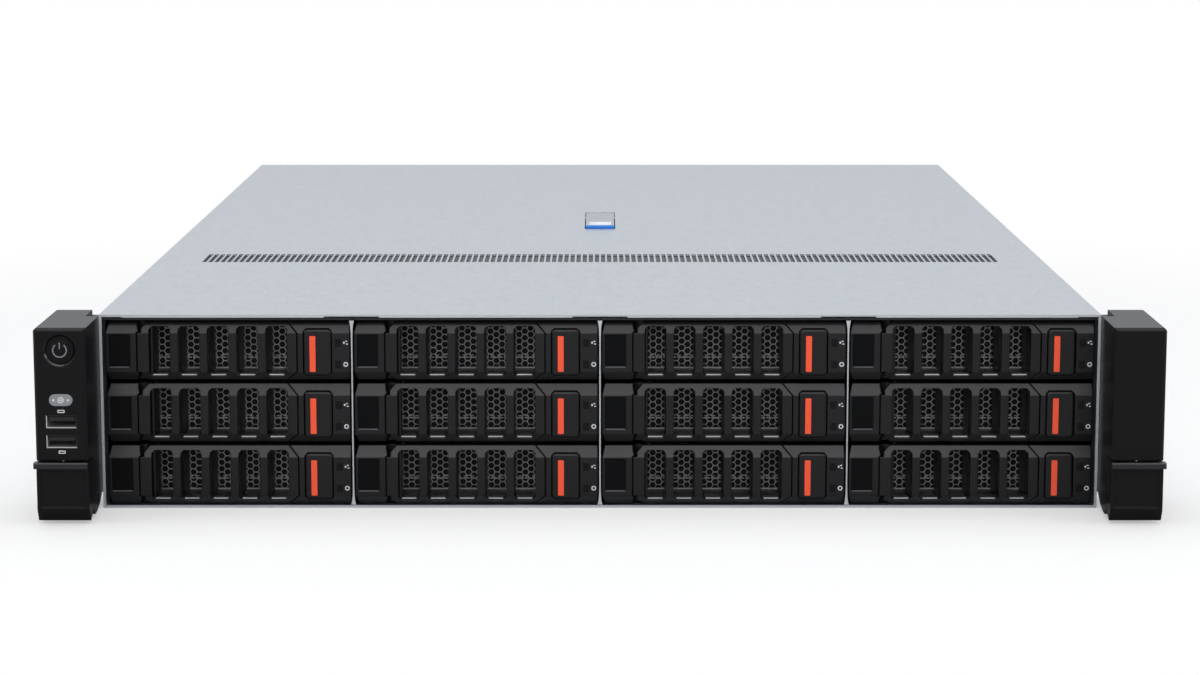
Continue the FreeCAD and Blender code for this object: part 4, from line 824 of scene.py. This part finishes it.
# ---- Case ----
@dataclass
class Case:
    """Sheet-metal case: base, drive cage, top cover, its latch and the rack screws."""

    fan_wall: Pair = (4.0, 1.0)  # thickness, foot over the fans'
    edge_y: float = 0.2
    cage_sheet: float = 0.8
    latch_lip: float = 0.7
    edge_w: float = 0.55
    splay: float = 0.8
    edge_z: Pair = (0.3, 1.2)  # foot over the cage's, shorter than the cage
    edge_depth: Pair = (0.2, -0.12)  # back, front
    wall: float = 1.2
    thread_r: float = 2.95
    thread_l: float = 11.0
    thread_pitch: float = 1.0
    thread_ridge: Triple = (0.35, 0.1, 0.25)  # half width in pitches, sunk, proud
    slot_row: Four = (-197.0, 197.0, 173.0, 205.0)  # left, right, front, rear
    mesh_gap: float = 0.45
    mesh_t: float = 0.15

    def build(self) -> None:
        """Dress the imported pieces."""
        (_, fans_y, fans_z), cage_high = corners("fan_modules")[0], corners("drive_cage")[1]
        wall_t, wall_foot = self.fan_wall
        dress("chassis_base", Stuff.BASE_SHEET)
        # Painted shade: the drive cage is black, and so is the fan wall in the dark behind the slots; the
        # cage's top faces keep plain steel.
        dress("drive_cage", Stuff.SHADE_BLACK)
        dress_part("chassis_base", Stuff.SHADE_BLACK,
                   lambda c, n: (c[:, 1] > fans_y) & (c[:, 1] < fans_y + wall_t)
                   & (c[:, 2] > fans_z + wall_foot) & (np.abs(c[:, 0]) < cage_high[0] - 0.1))
        self.divider_edges()
        self.slot_screen()
        dress("top_cover", Stuff.COVER_SHEET)
        # Painted highlight: the front-facing edges near the front of the cover and the base are brighter than
        # their sheet.
        edge = corners("top_cover")[0][1] + self.edge_y
        for name in ("top_cover", "chassis_base"):
            dress_part(name, Stuff.EDGE_HIGHLIGHT, lambda c, n: (c[:, 1] < edge) & (n[:, 1] < -SQUARE_ON))
        sheet = cage_high[2] - self.cage_sheet
        # Painted shade: the front edge of the cage's top sheet is darkened steel.
        dress_part("drive_cage", Stuff.SHADED_STEEL,
                   lambda c, n: (c[:, 2] > sheet) & (n[:, 1] < -SQUARE_ON))
        dress_part("drive_cage", Stuff.BASE_SHEET,
                   lambda c, n: (c[:, 2] > sheet) & (n[:, 2] > SQUARE_ON))
        dress("cover_latch", Stuff.SUPPLY_CASE)
        lip = corners("cover_latch")[0][1] + self.latch_lip
        dress_part("cover_latch", Stuff.BLUE, lambda c, n: c[:, 1] < lip)
        for name in ("left_rack_screw", "right_rack_screw"):
            dress(name, Stuff.NICKEL)
            self.thread(name)
        LOG.info("dressed the case")

    def thread(self, name: str) -> None:
        """Add the thread ridge of a rack screw: a triangle carried along a helix round the screw's axis.

        At angle a the foot stands just inside the shank's radius, the crest a depth outside it, and all of it
        lies a pitch times a / 2 pi along the axis.

        Args:
            name: The screw's node.
        """
        low, high = corners(name)
        middle = (low + high) / 2
        turns = (self.thread_l - self.thread_pitch) / self.thread_pitch
        angle = np.linspace(0, 2 * math.pi * turns, int(16 * turns))
        along = high[1] - self.thread_l + self.thread_pitch * angle / (2 * math.pi)
        share, sunk, proud = self.thread_ridge
        half, foot, crest = self.thread_pitch * share, self.thread_r - sunk, self.thread_r + proud
        rings = [np.stack([middle[0] + radius * np.cos(angle), along + shift,
                           middle[2] + radius * np.sin(angle)], axis=1)
                 for radius, shift in ((foot, 0.0), (crest, half), (foot, 2 * half))]
        surface = Surface()
        surface.loft(np.stack(rings, axis=1))
        surface.object(f"{name}_thread", name, Stuff.NICKEL)

    def slot_screen(self) -> None:
        """Add the fine mesh under the slots of the cover, dark as painted shade inside the slots."""
        x0, x1, y0, y1 = self.slot_row
        front, under = corners("top_cover")[0][1], corners("drive_cage")[1][2] + self.mesh_gap
        surface = Surface()
        surface.plate(corner_rect(x1 - x0, self.mesh_t, 0.0, 1) + np.array([(x0 + x1) / 2, under]),
                      front + y1, front + y0)
        surface.object("slot_screen", "top_cover", Stuff.SLOT_MESH_SHADE)

    def divider_edges(self) -> None:
        """Add the steel edge of each wall between two columns of carriers, splayed at its head and foot,
        painted brighter than the steel as highlight.

        The half width at height t, from 0 at the foot to 1 at the head, is the edge's own plus the splay
        times the sixteenth power of 2 t - 1.
        """
        low, high = corners("drive_cage")
        share = np.linspace(0, 1, 49)
        half = self.edge_w / 2 + self.splay * (2 * share - 1) ** 16
        foot, less = self.edge_z
        z = low[2] + foot + share * (high[2] - low[2] - less)
        outline = np.stack([np.concatenate([half, -half[::-1]]), np.concatenate([z, z[::-1]])], axis=1)
        surface = Surface()
        y0, y1 = (low[1] + y for y in self.edge_depth)
        for k in (-1, 0, 1):
            surface.plate(outline + np.array([k * (high[0] - low[0] - self.wall) / 4, 0]), y0, y1)
        surface.object("divider_edges", "chassis", Stuff.EDGE_HIGHLIGHT)


@dataclass
class Inside:
    """Boards, fans, heatsinks, memory and power supplies."""

    ports: Sequence[Four] = (  # left, right, bottom, top
        (-196.0, -181.0, 9.3, 23.3), (-174.0, -159.0, 9.3, 23.3), (-150.0, -134.0, 9.3, 22.8),
        (-128.0, -112.0, 9.3, 22.8), (-100.0, -69.0, 9.3, 21.3), (-60.0, -44.0, 9.3, 22.8))
    rim: float = 1.6
    mouth_y: Pair = (-0.2, 0.05)  # back, front
    mouth_corner: float = 0.4
    port_depth: float = 20.0
    port_z: Pair = (9.6, 25.0)
    handle_back: float = 22.0
    inlet_x: Pair = (43.0, 68.5)  # from the supply's left
    inlet_depth: float = 15.2
    grille_x: Pair = (4.5, 35.5)
    grille_depth: float = 6.3

    def build(self) -> None:
        """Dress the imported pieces."""
        for name in ("drive_backplane", "motherboard", "memory_modules"):
            dress(name, Stuff.BOARD_GREEN)
        dress("cpu_heatsinks", Stuff.ALUMINIUM)
        for name in ("fan_modules", "fan_rotor_1", "fan_rotor_2", "fan_rotor_3", "fan_rotor_4"):
            dress(name, Stuff.FAN_BLACK)
        for name in ("psu_1", "psu_2"):
            self.supply(name)
        self.port_mouth_shades()
        rear = corners("motherboard")[1][1] - self.port_depth
        z0, z1 = self.port_z
        dress_part("motherboard", Stuff.NICKEL,
                   lambda c, n: (c[:, 1] > rear) & (c[:, 2] > z0) & (c[:, 2] < z1))
        LOG.info("dressed the inside")

    def supply(self, name: str) -> None:
        """Dress a power supply: plated case, black pull handle, black inlet, and its grille recess painted
        black as shade.

        Args:
            name: The supply's node.
        """
        dress(name, Stuff.SUPPLY_CASE)
        low, high = corners(name)
        back = high[1] - self.handle_back

        def recess(centres: Array, depth: float, side: Pair) -> Array:
            """Tell which centres lie in a recess so deep, between two distances from the left."""
            x, y = centres[:, 0] - low[0], centres[:, 1]
            return (y > back - depth) & (y < back - 0.1) & (x > side[0]) & (x < side[1])

        dress_part(name, Stuff.EPOXY_AND_SHADE,
                   lambda c, n: (c[:, 1] > back + 0.1) | recess(c, self.inlet_depth, self.inlet_x))
        # Painted shade: the grille recess is black.
        dress_part(name, Stuff.SHADE_BLACK, lambda c, n: recess(c, self.grille_depth, self.grille_x))

    def port_mouth_shades(self) -> None:
        """Add a black plate in the mouth of each port at the rear: its black insulator, and painted shade for
        the dark inside.
        """
        y0, y1 = (corners("motherboard")[1][1] + y for y in self.mouth_y)
        surface = Surface()
        for x0, x1, z0, z1 in self.ports:
            outline = corner_rect(x1 - x0 - 2 * self.rim, z1 - z0 - 2 * self.rim, self.mouth_corner, 3)
            surface.plate(outline + np.array([(x0 + x1) / 2, (z0 + z1) / 2]), y0, y1)
        surface.object("port_mouth_shades", "chassis", Stuff.EPOXY_AND_SHADE)


# ---- Studio ----
@dataclass
class Studio:
    """Pale floor, white surroundings, soft lamps and the camera."""

    focal_mm: float = 91.5
    camera_y: float = -1.6314
    camera_z: float = 0.2841
    pitch_deg: float = 9.0
    floor_size: float = 30.0
    floor_tones: tuple[str, str] = ("F6F6F6", "A0A0A0")  # the second for reflections
    fade_m: Pair = (0.40, 0.75)
    fade_least: float = 0.4
    world_tone: str = "F4F6FA"
    world_light: float = 0.45
    card_lean: Pair = (0.5, 1.6)  # shares of y and z
    card_reach: Pair = (-0.3, 1.2)
    card_light: Pair = (0.15, 1.05)
    lamps: Sequence[tuple[str, Triple, Triple, float, float]] = (  # name, place, target, metres, watts
        ("top lamp", (0.0, 0.2, 2.0), (0.0, 0.0, 0.0), 2.4, 26.0),
        ("front lamp", (0.0, -2.2, 1.6), (0.0, -0.3, 0.05), 1.6, 16.0),
        ("low lamp", (0.0, -2.6, 0.55), (0.0, -0.3, 0.05), 0.7, 4.0),
        ("left lamp", (-2.0, -1.0, 0.9), (0.0, -0.2, 0.05), 1.0, 7.0),
        ("right lamp", (2.0, -1.0, 0.9), (0.0, -0.2, 0.05), 1.0, 7.0))

    def build(self) -> None:
        """Make the floor, the surroundings, the lamps and the camera."""
        self.floor()
        self.surroundings()
        self.light()
        self.camera()
        bpy.context.scene.view_settings.view_transform = "Standard"

    def floor(self) -> None:
        """Make a large floor that shows white to the camera, grey in reflections, and keeps the shadow."""
        mesh = bpy.data.meshes.new("floor")
        far = self.floor_size
        mesh.from_pydata([(-far, -far, 0), (far, -far, 0), (far, far, 0), (-far, far, 0)], [], [(0, 1, 2, 3)])
        made = bpy.data.objects.new("floor", mesh)
        bpy.context.scene.collection.objects.link(made)
        material = bpy.data.materials.new("white_paper_floor")
        material.use_nodes = True
        tree = material.node_tree
        shader = tree.nodes["Principled BSDF"]
        path = add(tree, "ShaderNodeLightPath")
        plain, shown = (linear(tone) for tone in self.floor_tones)
        tone = add(tree, "ShaderNodeMix", {"data_type": "RGBA"}, {
            0: path.outputs["Is Glossy Ray"], 6: plain, 7: shown})
        tree.links.new(tone.outputs[2], shader.inputs["Base Color"])
        shader.inputs["Roughness"].default_value = 0.9
        self.fade(tree, shader)
        mesh.materials.append(material)

    def fade(self, tree: Tree, shader: Node) -> None:
        """Let the floor pass into plain white away from the server, for the camera only.

        The share of white is a smooth step over the distance from the middle of the floor.

        Args:
            tree: The floor's node tree.
            shader: Its Principled shader.
        """
        path = add(tree, "ShaderNodeLightPath")
        place = add(tree, "ShaderNodeTexCoord")
        reach = add(tree, "ShaderNodeVectorMath", {"operation": "LENGTH"}, {0: place.outputs["Object"]})
        share = add(tree, "ShaderNodeMapRange", {"interpolation_type": "SMOOTHSTEP"}, {
            "Value": reach.outputs["Value"], "From Min": self.fade_m[0], "From Max": self.fade_m[1],
            "To Min": self.fade_least, "To Max": 1.0})
        seen = add(tree, "ShaderNodeMath", {"operation": "MULTIPLY"}, {
            0: share.outputs["Result"], 1: path.outputs["Is Camera Ray"]})
        white = add(tree, "ShaderNodeEmission", {}, {"Color": (1, 1, 1, 1), "Strength": 1.0})
        mix = add(tree, "ShaderNodeMixShader", {}, {
            0: seen.outputs["Value"], 1: shader.outputs["BSDF"], 2: white.outputs["Emission"]})
        tree.links.new(mix.outputs["Shader"], tree.nodes["Material Output"].inputs["Surface"])

    def surroundings(self) -> None:
        """Make the world: soft even light, plain white for the camera, and for reflections a white card.

        The card's light is a smooth step over the direction's y and z, each times its share, so it is bright
        overhead, falls off towards the horizon behind the server and is dim in front of it.
        """
        world = bpy.data.worlds.new("studio")
        world.use_nodes = True
        tree = world.node_tree
        tree.nodes.clear()
        path = add(tree, "ShaderNodeLightPath")
        place = add(tree, "ShaderNodeTexCoord")
        way = add(tree, "ShaderNodeSeparateXYZ", {}, {"Vector": place.outputs["Generated"]})
        back = add(tree, "ShaderNodeMath", {"operation": "MULTIPLY"}, {
            0: way.outputs["Y"], 1: self.card_lean[0]})
        lean = add(tree, "ShaderNodeMath", {"operation": "MULTIPLY_ADD"}, {
            0: way.outputs["Z"], 1: self.card_lean[1], 2: back.outputs["Value"]})
        card = add(tree, "ShaderNodeMapRange", {"interpolation_type": "SMOOTHSTEP"}, {
            "Value": lean.outputs["Value"], "From Min": self.card_reach[0], "From Max": self.card_reach[1],
            "To Min": self.card_light[0], "To Max": self.card_light[1]})
        light, shine = (add(tree, "ShaderNodeBackground", {}, {
            "Color": linear(self.world_tone), "Strength": strength})
            for strength in (self.world_light, card.outputs["Result"]))
        white = add(tree, "ShaderNodeBackground", {}, {"Color": (1, 1, 1, 1), "Strength": 1.0})
        glossy = add(tree, "ShaderNodeMixShader", {}, {
            0: path.outputs["Is Glossy Ray"], 1: light.outputs["Background"], 2: shine.outputs["Background"]})
        mix = add(tree, "ShaderNodeMixShader", {}, {
            0: path.outputs["Is Camera Ray"], 1: glossy.outputs["Shader"], 2: white.outputs["Background"]})
        add(tree, "ShaderNodeOutputWorld", {}, {"Surface": mix.outputs["Shader"]})
        bpy.context.scene.world = world

    def light(self) -> None:
        """Make the square area lamps, each turned towards its target."""
        for name, place, target, size, power in self.lamps:
            data = bpy.data.lights.new(name, "AREA")
            data.size, data.energy = size, power
            made = bpy.data.objects.new(name, data)
            made.location = place
            aim = made.location.copy()
            aim.x, aim.y, aim.z = (t - p for t, p in zip(target, place))
            made.rotation_euler = aim.to_track_quat("-Z", "Y").to_euler()
            bpy.context.scene.collection.objects.link(made)

    def camera(self) -> None:
        """Make the camera in front of the server, above it and tilted down."""
        data = bpy.data.cameras.new("camera")
        data.sensor_width = 36.0
        data.lens = self.focal_mm
        data.clip_start, data.clip_end = 0.05, 100.0
        made = bpy.data.objects.new("camera", data)
        made.location = (0.0, self.camera_y, self.camera_z)
        made.rotation_euler = (math.radians(90 - self.pitch_deg), 0.0, 0.0)
        bpy.context.scene.collection.objects.link(made)
        bpy.context.scene.camera = made


def main() -> None:
    """Build the sub-assemblies in order, then the studio."""
    logging.basicConfig(level=logging.INFO, format="%(message)s")
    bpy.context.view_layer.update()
    Case().build()
    Inside().build()
    for number in range(1, CARRIERS + 1):
        DriveCarrier(number).build()
    ControlEar("left").build()
    Ear("right").build()
    Studio().build()


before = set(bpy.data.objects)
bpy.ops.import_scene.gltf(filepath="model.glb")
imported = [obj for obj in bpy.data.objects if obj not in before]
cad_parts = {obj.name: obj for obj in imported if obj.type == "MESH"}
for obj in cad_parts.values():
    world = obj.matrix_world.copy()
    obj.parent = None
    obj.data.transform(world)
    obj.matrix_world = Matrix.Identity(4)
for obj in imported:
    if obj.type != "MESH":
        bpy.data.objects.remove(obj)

if __name__ == "__main__":
    main()
